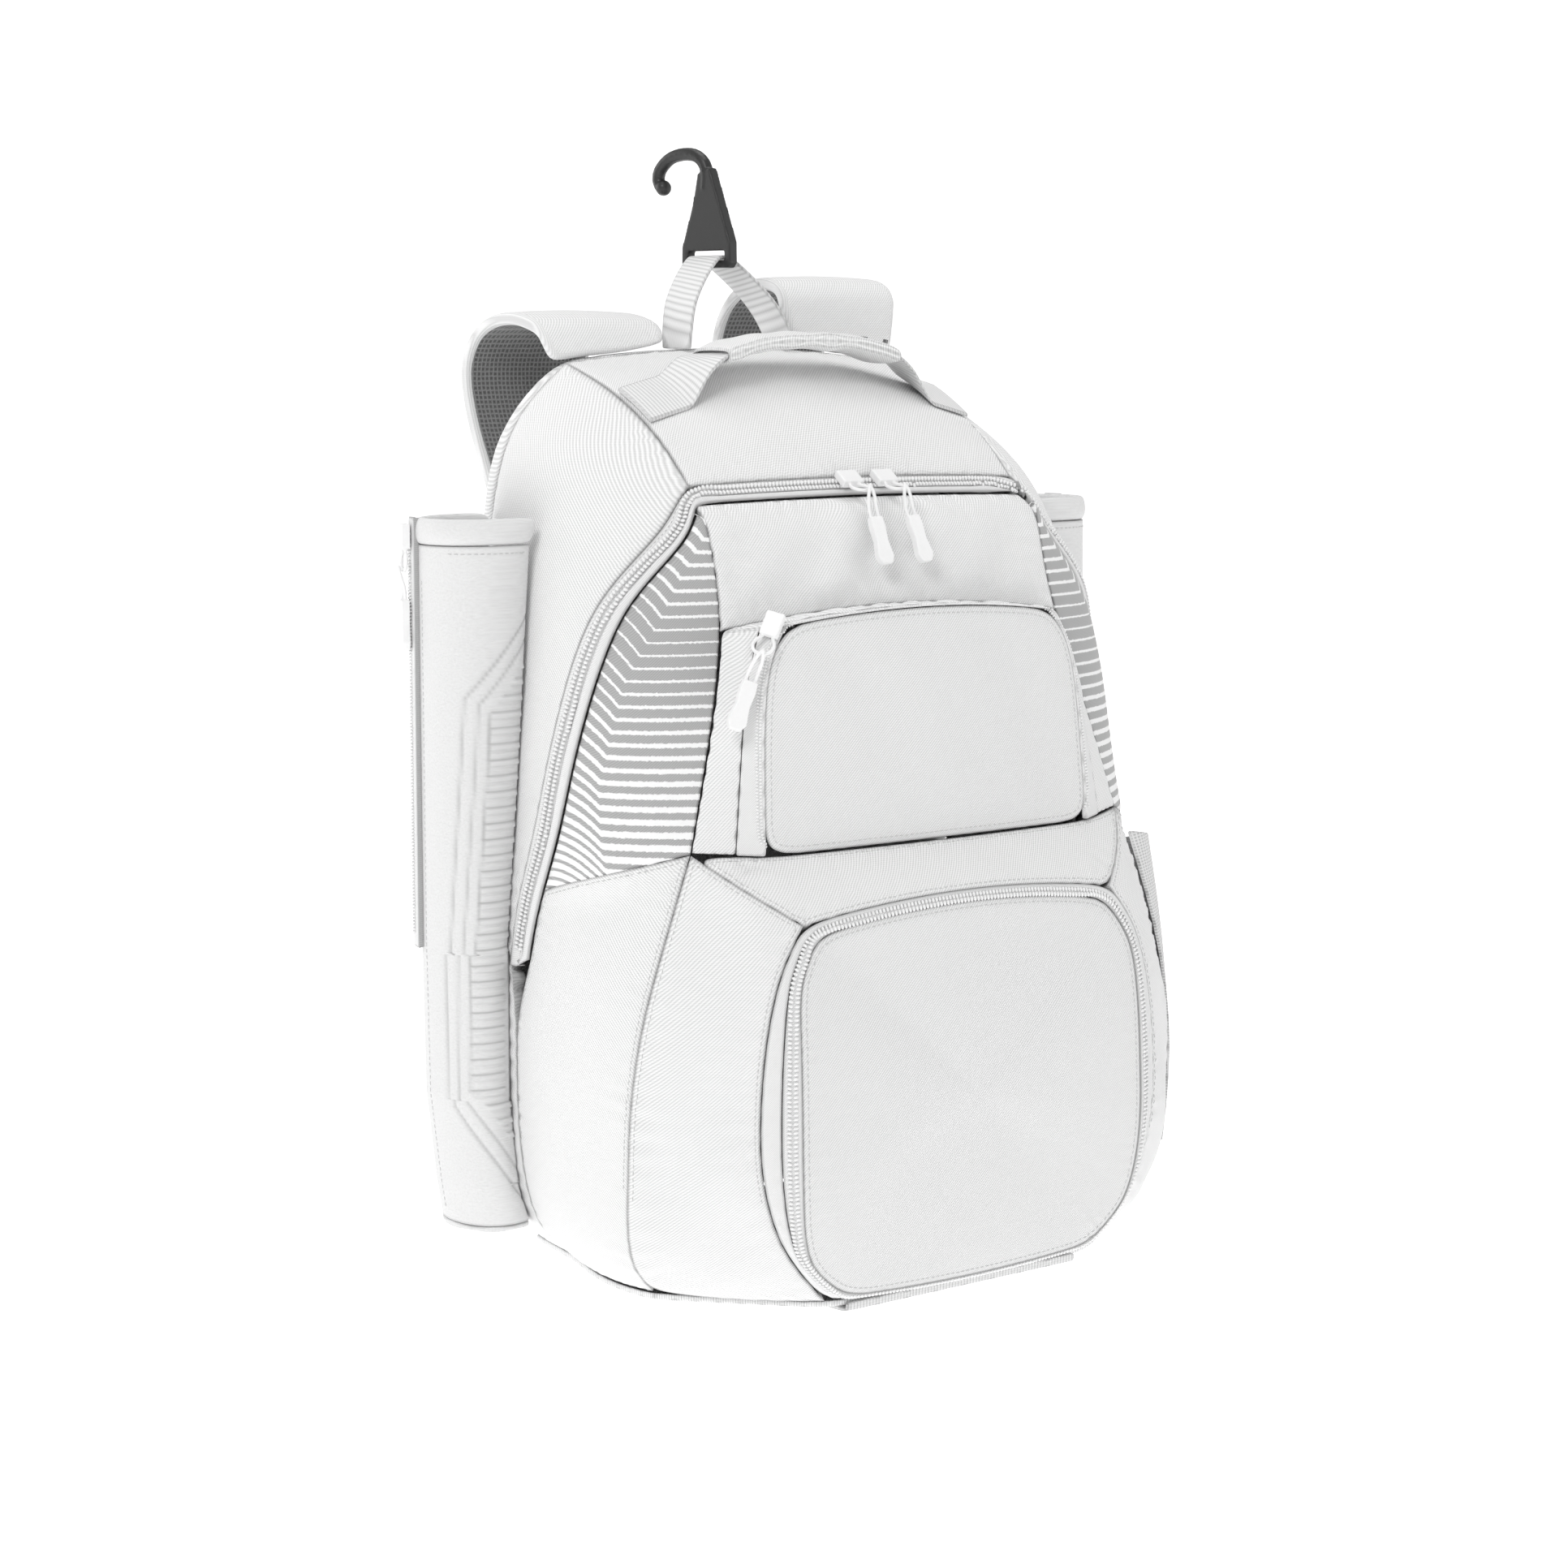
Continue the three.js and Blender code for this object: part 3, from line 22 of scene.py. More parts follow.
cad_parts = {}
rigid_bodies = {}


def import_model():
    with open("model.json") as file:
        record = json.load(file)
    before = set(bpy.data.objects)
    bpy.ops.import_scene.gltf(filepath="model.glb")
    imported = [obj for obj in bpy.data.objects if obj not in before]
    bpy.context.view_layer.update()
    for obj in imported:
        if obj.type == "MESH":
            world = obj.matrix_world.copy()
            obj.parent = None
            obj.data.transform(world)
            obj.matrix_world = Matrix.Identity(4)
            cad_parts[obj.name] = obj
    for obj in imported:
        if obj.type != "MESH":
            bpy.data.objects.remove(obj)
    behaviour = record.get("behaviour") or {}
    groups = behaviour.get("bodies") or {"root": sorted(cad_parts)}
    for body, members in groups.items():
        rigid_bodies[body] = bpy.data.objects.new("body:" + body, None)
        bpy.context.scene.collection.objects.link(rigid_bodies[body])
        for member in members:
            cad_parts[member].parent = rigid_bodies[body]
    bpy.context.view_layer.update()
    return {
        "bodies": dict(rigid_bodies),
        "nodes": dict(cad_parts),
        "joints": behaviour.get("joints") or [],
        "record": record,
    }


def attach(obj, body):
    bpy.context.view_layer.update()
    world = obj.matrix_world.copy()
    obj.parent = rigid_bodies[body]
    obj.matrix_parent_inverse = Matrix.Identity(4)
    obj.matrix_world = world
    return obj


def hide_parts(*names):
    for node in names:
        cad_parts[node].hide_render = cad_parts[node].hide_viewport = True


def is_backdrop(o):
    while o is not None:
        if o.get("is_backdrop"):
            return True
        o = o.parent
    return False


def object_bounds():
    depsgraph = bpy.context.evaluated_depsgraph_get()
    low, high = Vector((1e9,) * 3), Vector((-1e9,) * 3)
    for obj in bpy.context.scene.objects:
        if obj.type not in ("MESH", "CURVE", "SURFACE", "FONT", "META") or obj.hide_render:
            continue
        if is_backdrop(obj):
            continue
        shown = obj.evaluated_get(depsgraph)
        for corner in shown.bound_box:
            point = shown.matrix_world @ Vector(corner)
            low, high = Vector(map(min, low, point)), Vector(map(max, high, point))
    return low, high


LOG = logging.getLogger("backpack")
MM = 0.001
SEAM_REACH = 1.3  # how far a seam's shade goes from the border, in millimetres
JOIN_ANGLE = math.radians(50)  # triangles that meet flatter than this become one face
CORNER_ANGLE = math.radians(48)  # edges that turn more than this count as corners
SHARP_ANGLE = math.radians(52)  # edges that turn more than this are shaded sharp
Relief = Callable[["Surface"], np.ndarray]


class Side(Enum):
    """The bag's two sides, seen from the front."""

    RIGHT = 1
    LEFT = -1

    @property
    def word(self) -> str:
        """The side's name in the nodes."""
        return self.name.lower()


class Plane(Enum):
    """The two axes that a panel's weave follows."""

    FRONT = (0, 2)
    FLANK = (1, 2)
    CROWN = (0, 1)


@dataclass
class Site:
    """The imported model, with the bag's own frame inside it."""

    nodes: dict
    origin: np.ndarray

    core_y: float = -50.0
    core_low: float = 70.0
    core_high: float = 320.0

    @classmethod
    def loaded(cls, frame: dict) -> "Site":
        """Reads where the underside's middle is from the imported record.


        Returns:
            The site.
        """
        base = next(m for m in frame["record"]["mounts"] if m["name"] == "base")
        origin = np.array(base["pos_m"]) - np.array([0, cls.core_y * MM, 0])
        return cls(frame["nodes"], origin)

    def bag(self, points: np.ndarray) -> np.ndarray:
        """Points of the model, in the bag's millimetres."""
        return (np.asarray(points) - self.origin) / MM

    def place(self, points: Sequence) -> np.ndarray:
        """Points in the bag's millimetres, in the model's frame."""
        return np.asarray(points, float) * MM + self.origin

    def into(self, point: Vector, core: Optional[tuple] = None) -> Vector:
        """The way from a point to the middle of what it wraps.

        Args:
            point: a point of the model.
            core: that middle's x and y in the bag's millimetres, or None for the bag's own.

        Returns:
            A unit vector.
        """
        z = self.bag(point)[2]
        if core is None:
            middle = (0, self.core_y, min(max(z, self.core_low), self.core_high))
        else:
            middle = (*core, z)
        return (Vector(self.place(middle)) - point).normalized()


def ripples(points: np.ndarray, wave: float, seed: int, count: int = 7) -> np.ndarray:
    """Smooth noise made of crossing waves.

    Args:
        points: an array of points, in millimetres.
        wave: the usual wavelength, in millimetres.
        seed: picks the waves.
        count: how many waves.

    Returns:
        One number for each point, mostly from -1 to 1.
    """
    random = np.random.default_rng(seed)
    ways = random.normal(size=(count, points.shape[1]))
    ways /= np.linalg.norm(ways, axis=1)[:, None]
    rates = 2 * np.pi / (wave * random.uniform(0.7, 1.5, count))
    phases = random.uniform(0, 2 * np.pi, count)
    return np.sin(points @ (ways * rates[:, None]).T + phases).sum(1) / math.sqrt(count)


def bell(values: np.ndarray, middle: float, reach: float) -> np.ndarray:
    """A smooth hump, 1 at its middle and near 0 past its reach."""
    return np.exp(-(((values - middle) / reach) ** 2))


def step(values: np.ndarray, low: float, high: float) -> np.ndarray:
    """A smooth rise from 0 at low to 1 at high."""
    t = np.clip((values - low) / (high - low), 0, 1)
    return t * t * (3 - 2 * t)


def chained(points: list, first: Callable[[Vector], float]) -> list:
    """Orders points by always going to the nearest one that is left.

    Args:
        points: the points.
        first: the point with the least of this comes first.

    Returns:
        The ordered points.
    """
    left = list(points)
    line = [min(left, key=first)]
    left.remove(line[0])
    while left:
        near = min(left, key=lambda p: (p - line[-1]).length)
        left.remove(near)
        line.append(near)
    return line


def sampled(line: Sequence, pitch: float, closed: bool = False) -> np.ndarray:
    """Even points along a smooth curve through a line's points.

    Args:
        line: the points.
        pitch: the distance between the even points.
        closed: whether the line ends where it starts.

    Returns:
        An array of points.
    """
    p = np.array([list(v) for v in line])
    if closed:
        p = np.vstack([p[-1], p, p[0], p[1]])
    else:
        p = np.vstack([2 * p[0] - p[1], p, 2 * p[-1] - p[-2]])
    t = np.linspace(0, 1, 24, endpoint=False)[:, None]
    parts = []
    for a, b, c, d in zip(p, p[1:], p[2:], p[3:]):
        curve = 2 * b + (c - a) * t + (2 * a - 5 * b + 4 * c - d) * t**2
        parts.append(0.5 * (curve + (3 * b - 3 * c + d - a) * t**3))
    fine = np.vstack(parts + [p[-2]])
    run = np.concatenate([[0], np.cumsum(np.linalg.norm(np.diff(fine, axis=0), axis=1))])
    count = max(2, int(run[-1] / pitch) + 1)
    at = np.linspace(0, run[-1], count)
    return np.stack([np.interp(at, run, fine[:, k]) for k in range(3)], 1)


def placed(name: str, data: bpy.types.ID) -> bpy.types.Object:
    """A new object in the scene that holds some data."""
    made = bpy.data.objects.new(name, data)
    bpy.context.scene.collection.objects.link(made)
    return made


def modified(mesh: bpy.types.Mesh, *steps: tuple) -> bpy.types.Mesh:
    """A mesh with some modifiers applied.

    Args:
        mesh: the mesh.
        steps: for each modifier its type and a dict of its settings.

    Returns:
        The new mesh.
    """
    holder = placed(mesh.name + "_coarse", mesh)
    for kind, settings in steps:
        modifier = holder.modifiers.new(kind, kind)
        for key, value in settings.items():
            setattr(modifier, key, value)
    graph = bpy.context.evaluated_depsgraph_get()
    made = bpy.data.meshes.new_from_object(holder.evaluated_get(graph))
    bpy.data.objects.remove(holder)
    return made


class Surface:
    """A sheet or closed form taken from a CAD node, refined and ready for its relief."""

    def __init__(
        self,
        site: Site,
        node: str,
        levels: int = 3,
        core: Optional[tuple] = None,
        closed: bool = False,
        facing: float = 0.3,
        rows: float = 0.0,
        crease: float = 0.5,
    ) -> None:
        """Copies the node, keeps its outer face or all of it, and subdivides it.

        Args:
            site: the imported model.
            node: the CAD node.
            levels: how often each face is split in four.
            core: the x and y of the middle that the node wraps, or None for the bag's.
            closed: keeps the whole closed form.
            facing: how squarely a kept face looks away from that middle.
            rows: cuts the copy level every so many millimetres first.
            crease: how sharp the corners of a closed form stay.
        """
        self.site = site
        self.node = node
        self.closed = closed
        bm = bmesh.new()
        bm.from_mesh(site.nodes[node].data)
        bmesh.ops.remove_doubles(bm, verts=bm.verts, dist=0.02 * MM)
        bm.normal_update()
        if not closed:
            inner = [f for f in bm.faces if -f.normal.dot(site.into(f.calc_center_median(), core)) < facing]
            bmesh.ops.delete(bm, geom=inner, context="FACES")
        bmesh.ops.join_triangles(
            bm, faces=bm.faces[:], angle_face_threshold=JOIN_ANGLE, angle_shape_threshold=JOIN_ANGLE
        )
        if rows:
            self._cut_level(bm, rows)
        layer = bm.edges.layers.float.new("crease_edge")
        self.spine = [v.co.copy() for v in bm.verts if not v.is_boundary]
        corners = [e for e in bm.edges if e.is_manifold and e.calc_face_angle() > CORNER_ANGLE]
        self.corners = [e.verts[0].co.lerp(e.verts[1].co, t / 6) for e in corners for t in range(7)]
        if closed:
            for edge in corners:
                edge[layer] = crease
        coarse = bpy.data.meshes.new(node)
        bm.to_mesh(coarse)
        bm.free()
        smooth = {"levels": levels, "render_levels": levels, "boundary_smooth": "PRESERVE_CORNERS"}
        self.mesh = modified(coarse, ("SUBSURF", smooth))
        count = len(self.mesh.vertices)
        flat = np.empty(count * 3)
        self.mesh.vertices.foreach_get("co", flat)
        self.points = flat.reshape(-1, 3)
        self._edge_distance()

    def _cut_level(self, bm: bmesh.types.BMesh, rows: float) -> None:
        """Cuts the mesh by level planes, so that its rows are close."""
        heights = [v.co.z for v in bm.verts]
        count = int((max(heights) - min(heights)) / (rows * MM))
        for i in range(1, count):
            z = min(heights) + (max(heights) - min(heights)) * i / count
            geometry = bm.verts[:] + bm.edges[:] + bm.faces[:]
            bmesh.ops.bisect_plane(bm, geom=geometry, dist=0.2 * MM, plane_co=(0, 0, z), plane_no=(0, 0, 1))

    def _edge_distance(self) -> None:
        """Finds how far each vertex is from the border, and how far along it."""
        mesh = self.mesh
        edges = np.empty(len(mesh.edges) * 2, int)
        mesh.edges.foreach_get("vertices", edges)
        edges = edges.reshape(-1, 2)
        used = np.empty(len(mesh.loops), int)
        mesh.loops.foreach_get("edge_index", used)
        open_edges = edges[np.bincount(used, minlength=len(edges)) == 1]
        self.loops = self._walk(open_edges)
        if self.loops:
            line = np.vstack([self.points[loop] for loop in self.loops])
            ends = np.vstack([self.points[np.roll(loop, -1)] for loop in self.loops])
            lengths = np.linalg.norm(ends - line, axis=1)
            runs = np.concatenate([[0], np.cumsum(lengths)])[:-1]
        else:
            line = np.array(self.corners)
            ends = line
            runs = np.zeros(len(line))
        tree = KDTree(len(line))
        for i, p in enumerate(line):
            tree.insert(p, i)
        tree.balance()
        near = np.array([tree.find(p)[1] for p in self.points])
        best = np.linalg.norm(self.points - line[near], axis=1)
        for index in (near, near - 1):
            a, b = line[index], ends[index]
            span = b - a
            length = np.maximum((span * span).sum(1), 1e-12)
            t = np.clip(((self.points - a) * span).sum(1) / length, 0, 1)
            best = np.minimum(best, np.linalg.norm(self.points - a - span * t[:, None], axis=1))
        self.edge = best / MM
        self.run = runs[near] / MM

    @staticmethod
    def _walk(open_edges: np.ndarray) -> list:
        """The border's vertices in order, one list for each closed line."""
        links: dict = {}
        for a, b in open_edges.tolist():
            links.setdefault(a, []).append(b)
            links.setdefault(b, []).append(a)
        loops = []
        while links:
            start = next(iter(links))
            loop = [start]
            here = start
            while links.get(here):
                there = links[here].pop()
                links[there].remove(here)
                here = there
                if here == start:
                    break
                loop.append(here)
            for v in loop:
                if not links.get(v):
                    links.pop(v, None)
            if len(loop) > 2:
                loops.append(np.array(loop))
        return loops

    @property
    def bag(self) -> np.ndarray:
        """The vertices in the bag's millimetres."""
        return self.site.bag(self.points)

    def normals(self) -> np.ndarray:
        """The normals of the vertices where they are now."""
        self.mesh.vertices.foreach_set("co", self.points.ravel())
        self.mesh.update()
        flat = np.empty(len(self.points) * 3)
        self.mesh.vertices.foreach_get("normal", flat)
        return flat.reshape(-1, 3)

    def push(self, amount: np.ndarray) -> "Surface":
        """Moves the vertices along their normals by so many millimetres."""
        self.points = self.points + self.normals() * (amount * MM)[:, None]
        return self

    def tuck(self, depth: float = 0.9, reach: float = 2.2) -> "Surface":
        """Sinks the border, as a seam pulls the cloth in."""
        return self.push(-depth * np.exp(-self.edge / reach))

    def pucker(self, depth: float = 0.6, wave: float = 9.0, reach: float = 9.0, seed: int = 1) -> "Surface":
        """Small gathers that run away from the seams and soften with distance."""
        along = ripples(self.run[:, None], wave, seed, 4)
        return self.push(depth * along * np.exp(-self.edge / reach) * (1 - np.exp(-self.edge / 1.5)))

    def soften(self, depth: float = 0.8, wave: float = 70.0, seed: int = 3) -> "Surface":
        """Slow waves in the cloth between its seams."""
        return self.push(depth * ripples(self.bag, wave, seed) * step(self.edge, 0, 18))

    def tree(self) -> BVHTree:
        """A search tree of the surface where it is now."""
        self.normals()
        return BVHTree.FromPolygons(
            [Vector(p) for p in self.points], [tuple(f.vertices) for f in self.mesh.polygons]
        )

    def edge_line(
        self, offset: float, keep: Callable[[np.ndarray], np.ndarray], onto: Optional[BVHTree] = None
    ) -> list:
        """Lines on the surface at a distance from its border.

        Args:
            offset: that distance, in millimetres.
            keep: takes border points in the bag's millimetres, and says which count.
            onto: the surface that they lie on, or None for this one.

        Returns:
            The lines, each an array of points.
        """
        tree = onto or self.tree()
        lines = []
        for loop in self.loops:
            at = self.points[loop]
            kept = keep(self.site.bag(at))
            along = np.roll(at, -2, axis=0) - np.roll(at, 2, axis=0)
            normals = self.normals()[loop]
            inside = np.cross(normals, along)
            inside /= np.maximum(np.linalg.norm(inside, axis=1), 1e-9)[:, None]
            middle = self.points.mean(0)
            if ((middle - at) * inside).sum() < 0:
                inside = -inside
            moved = at + inside * offset * MM
            start = int(np.argmin(kept)) if not kept.all() else 0
            line: list = []
            for i in np.roll(np.arange(len(loop)), -start):
                if kept[i]:
                    line.append(list(tree.find_nearest(Vector(moved[i]))[0]))
                elif len(line) > 3:
                    lines.append(np.array(line))
                    line = []
                else:
                    line = []
            if len(line) > 3:
                lines.append(np.array(line))
        return lines

    def finished(self, name: str, finish: "Finish", plane: Plane, fold: float = 3.0) -> bpy.types.Object:
        """Writes the mesh, folds its border in and gives it its weave's directions.

        Args:
            name: the new piece's name.
            finish: what it is made of.
            plane: the axes that the weave follows.
            fold: how far the border turns in, in millimetres.

        Returns:
            The object, which stands for the node.
        """
        normals = self.normals()
        mesh = self.mesh
        count = len(self.points)
        for key, values in (("edge", self.edge), ("run", self.run)):
            layer = mesh.attributes.new(key, "FLOAT", "POINT")
            layer.data.foreach_set("value", values.astype(np.float32))
        if not self.closed and fold:
            bm = bmesh.new()
            bm.from_mesh(mesh)
            rim = [e for e in bm.edges if e.is_boundary]
            made = bmesh.ops.extrude_edge_only(bm, edges=rim)["geom"]
            for v in (g for g in made if isinstance(g, bmesh.types.BMVert)):
                beside = [e.other_vert(v) for e in v.link_edges]
                old = next(b for b in beside if 0 <= b.index < count)
                v.co = v.co - Vector(normals[old.index]) * fold * MM
            bmesh.ops.recalc_face_normals(bm, faces=bm.faces[:])
            bm.to_mesh(mesh)
            bm.free()
        weave(mesh, self.site, plane)
        piece = new_piece(name, mesh, finish, (self.node,))
        mesh.set_sharp_from_angle(angle=SHARP_ANGLE)
        return piece


def weave(mesh: bpy.types.Mesh, site: Site, plane: Plane) -> None:
    """Gives a mesh a UV map in metres that lies along two axes of the bag.

    Args:
        mesh: the mesh.
        site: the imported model.
        plane: the two axes.
    """
    layer = mesh.uv_layers.active or mesh.uv_layers.new(name="weave")
    flat = np.empty(len(mesh.vertices) * 3)
    mesh.vertices.foreach_get("co", flat)
    index = np.empty(len(mesh.loops), int)
    mesh.loops.foreach_get("vertex_index", index)
    at = (flat.reshape(-1, 3) - site.origin)[index]
    layer.data.foreach_set("uv", at[:, list(plane.value)].ravel())


def new_piece(
    name: str, mesh: bpy.types.Mesh, finish: "Finish", nodes: Iterable[str] = ()
) -> bpy.types.Object:
    """Makes an object that rides with the bag.

    Args:
        name: its name.
        mesh: its mesh.
        finish: what it is made of.
        nodes: the CAD nodes that it stands for.

    Returns:
        The object.
    """
    mesh.name = name
    if not mesh.materials:
        mesh.materials.append(finish.material())
    mesh.shade_smooth()
    piece = placed(name, mesh)
    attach(piece, "root")
    if nodes:
        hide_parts(*nodes)
    return piece


def bead(sides: int = 6, rings: int = 4) -> bpy.types.Mesh:
    """A small ball of radius 1, the seed of stitches and teeth."""
    bm = bmesh.new()
    bmesh.ops.create_uvsphere(bm, u_segments=sides, v_segments=rings, radius=1)
    mesh = bpy.data.meshes.new("bead")
    bm.to_mesh(mesh)
    bm.free()
    return mesh


def scattered(seed: bpy.types.Mesh, places: list) -> bpy.types.Mesh:
    """One mesh with a copy of a seed at each place.

    Args:
        seed: the mesh that repeats.
        places: a matrix for each copy.

    Returns:
        The joined mesh.
    """
    base = np.array([[*v.co, 1] for v in seed.vertices])
    frames = np.array([[list(row) for row in m] for m in places])
    points = np.einsum("mij,vj->mvi", frames, base)[:, :, :3].reshape(-1, 3)
    faces = [list(f.vertices) for f in seed.polygons]
    many = [[v + i * len(base) for v in face] for i in range(len(places)) for face in faces]
    mesh = bpy.data.meshes.new("scattered")
    mesh.from_pydata(points.tolist(), [], many)
    mesh.update()
    return mesh


def bead_places(
    line: np.ndarray, tree: BVHTree, size: Sequence[float], lift: float, lean: float = 0.0
) -> list:
    """Where beads lie along a line on a surface.

    Args:
        line: even points.
        tree: the surface.
        size: a bead's half sizes along, across and up, in millimetres.
        lift: how far its middle stands off the surface, in millimetres.
        lean: how far it turns from the line, in degrees.

    Returns:
        A matrix for each bead.
    """
    places = []
    turn = Matrix.Rotation(math.radians(lean), 4, "Z")
    scale = Matrix.Diagonal((size[0] * MM, size[1] * MM, size[2] * MM, 1))
    for i, p in enumerate(line):
        at, up, _, _ = tree.find_nearest(Vector(p))
        ahead = Vector(line[min(i + 1, len(line) - 1)] - line[max(i - 1, 0)])
        along = (ahead - up * ahead.dot(up)).normalized()
        frame = Matrix((along, up.cross(along), up)).transposed().to_4x4()
        frame.translation = at + up * lift * MM
        places.append(frame @ turn @ scale)
    return places


@dataclass(frozen=True)
class Stitching:
    """A row of stitches at a distance from a seam."""

    pitch: float = 3.1
    long: float = 1.15
    wide: float = 0.3
    lift: float = 0.05

    def places(self, lines: Iterable, tree: BVHTree) -> list:
        """A matrix for each stitch along some lines of a surface."""
        found = []
        for line in lines:
            even = sampled(line[::3], self.pitch * MM)
            found += bead_places(even, tree, (self.long, self.wide, self.wide), self.lift)
        return found


def sewn(name: str, places: list, finish: "Finish") -> None:
    """Makes one piece of many stitches."""
    if places:
        new_piece(name, scattered(bead(), places), finish)


# Finishes


def group_of(name: str, build: Callable) -> bpy.types.NodeTree:
    """A node group that turns coordinates and a pitch into a height, made once.

    Args:
        name: the group's name.
        build: fills the group from its tree, its input node and its output node.

    Returns:
        The group.
    """
    if name in bpy.data.node_groups:
        return bpy.data.node_groups[name]
    tree = bpy.data.node_groups.new(name, "ShaderNodeTree")
    tree.interface.new_socket("Vector", in_out="INPUT", socket_type="NodeSocketVector")
    pitch = tree.interface.new_socket("Pitch", in_out="INPUT", socket_type="NodeSocketFloat")
    pitch.default_value = 1 * MM
    tree.interface.new_socket("Height", in_out="OUTPUT", socket_type="NodeSocketFloat")
    build(tree, tree.nodes.new("NodeGroupInput"), tree.nodes.new("NodeGroupOutput"))
    return tree


def maths(tree: bpy.types.NodeTree, kind: str, a, b=None) -> bpy.types.NodeSocket:
    """A Math node on two sockets or numbers, and its result."""
    node = tree.nodes.new("ShaderNodeMath")
    node.operation = kind
    for slot, value in zip(node.inputs, (a, b)):
        if isinstance(value, bpy.types.NodeSocket):
            tree.links.new(value, slot)
        elif value is not None:
            slot.default_value = value
    return node.outputs[0]


def blended(tree: bpy.types.NodeTree, factor, a, b, kind: str = "MIX") -> bpy.types.NodeSocket:
    """A Mix node on colours, each a socket or a value, and its result."""
    node = tree.nodes.new("ShaderNodeMix")
    node.data_type = "RGBA"
    node.blend_type = kind
    for key, value in (("Factor", factor), ("A", a), ("B", b)):
        if isinstance(value, bpy.types.NodeSocket):
            tree.links.new(value, node.inputs[key])
        else:
            node.inputs[key].default_value = value
    return node.outputs["Result"]


def attribute(tree: bpy.types.NodeTree, name: str) -> bpy.types.NodeSocket:
    """What a mesh's own attribute says."""
    node = tree.nodes.new("ShaderNodeAttribute")
    node.attribute_name = name
    return node.outputs["Fac"]


def ranged(
    tree: bpy.types.NodeTree, value: bpy.types.NodeSocket, source: tuple, target: tuple = (0.0, 1.0)
) -> bpy.types.NodeSocket:
    """A value moved from one range to another and kept inside it."""
    node = tree.nodes.new("ShaderNodeMapRange")
    names = ("From Min", "From Max", "To Min", "To Max")
    for key, number in zip(names, (*source, *target)):
        node.inputs[key].default_value = number
    tree.links.new(value, node.inputs["Value"])
    return node.outputs[0]


def build_twill(tree: bpy.types.NodeTree, source: bpy.types.Node, sink: bpy.types.Node) -> None:
    """Diagonal ridges, each broken into short floats."""
    split = tree.nodes.new("ShaderNodeSeparateXYZ")
    tree.links.new(source.outputs["Vector"], split.inputs[0])
    rate = maths(tree, "DIVIDE", 2 * math.pi, source.outputs["Pitch"])
    across = maths(tree, "SUBTRACT", split.outputs[0], split.outputs[1])
    ridge = maths(tree, "SINE", maths(tree, "MULTIPLY", across, rate))
    along = maths(tree, "MULTIPLY", split.outputs[1], maths(tree, "MULTIPLY", rate, 2.0))
    floats = maths(tree, "SINE", along)
    mixed = maths(tree, "ADD", maths(tree, "MULTIPLY", ridge, 0.34), maths(tree, "MULTIPLY", floats, 0.16))
    tree.links.new(maths(tree, "ADD", mixed, 0.5), sink.inputs["Height"])


def build_ribs(tree: bpy.types.NodeTree, source: bpy.types.Node, sink: bpy.types.Node) -> None:
    """Cross ribs of a webbing, each rounded, with a finer weave along them."""
    split = tree.nodes.new("ShaderNodeSeparateXYZ")
    tree.links.new(source.outputs["Vector"], split.inputs[0])
    rate = maths(tree, "DIVIDE", math.pi, source.outputs["Pitch"])
    rib = maths(tree, "ABSOLUTE", maths(tree, "SINE", maths(tree, "MULTIPLY", split.outputs[0], rate)))
    faster = maths(tree, "MULTIPLY", rate, 3.0)
    fine = maths(tree, "SINE", maths(tree, "MULTIPLY", split.outputs[1], faster))
    mixed = maths(tree, "ADD", maths(tree, "MULTIPLY", rib, 0.8), maths(tree, "MULTIPLY", fine, 0.1))
    tree.links.new(mixed, sink.inputs["Height"])


def build_cells(tree: bpy.types.NodeTree, source: bpy.types.Node, sink: bpy.types.Node) -> None:
    """Open cells of a knitted mesh."""
    cells = tree.nodes.new("ShaderNodeTexVoronoi")
    cells.feature = "DISTANCE_TO_EDGE"
    cells.inputs["Randomness"].default_value = 0.12
    tree.links.new(source.outputs["Vector"], cells.inputs["Vector"])
    tree.links.new(maths(tree, "DIVIDE", 1.0, source.outputs["Pitch"]), cells.inputs["Scale"])
    rim = maths(tree, "SUBTRACT", 1.0, maths(tree, "MULTIPLY", cells.outputs["Distance"], 3.0))
    tree.links.new(maths(tree, "MAXIMUM", rim, 0.0), sink.inputs["Height"])


def build_grain(tree: bpy.types.NodeTree, source: bpy.types.Node, sink: bpy.types.Node) -> None:
    """An even, fine grain."""
    grain = tree.nodes.new("ShaderNodeTexNoise")
    grain.inputs["Detail"].default_value = 2.0
    tree.links.new(source.outputs["Vector"], grain.inputs["Vector"])
    tree.links.new(maths(tree, "DIVIDE", 1.0, source.outputs["Pitch"]), grain.inputs["Scale"])
    tree.links.new(grain.outputs["Fac"], sink.inputs["Height"])


class Texture(Enum):
    """What a finish's surface is woven, knitted or moulded into."""

    TWILL = "twill"
    RIBS = "ribs"
    CELLS = "cells"
    GRAIN = "grain"

    def group(self) -> bpy.types.NodeTree:
        """The node group that gives the texture's height."""
        builders = {
            Texture.TWILL: build_twill,
            Texture.RIBS: build_ribs,
            Texture.CELLS: build_cells,
            Texture.GRAIN: build_grain,
        }
        return group_of(self.value, builders[self])


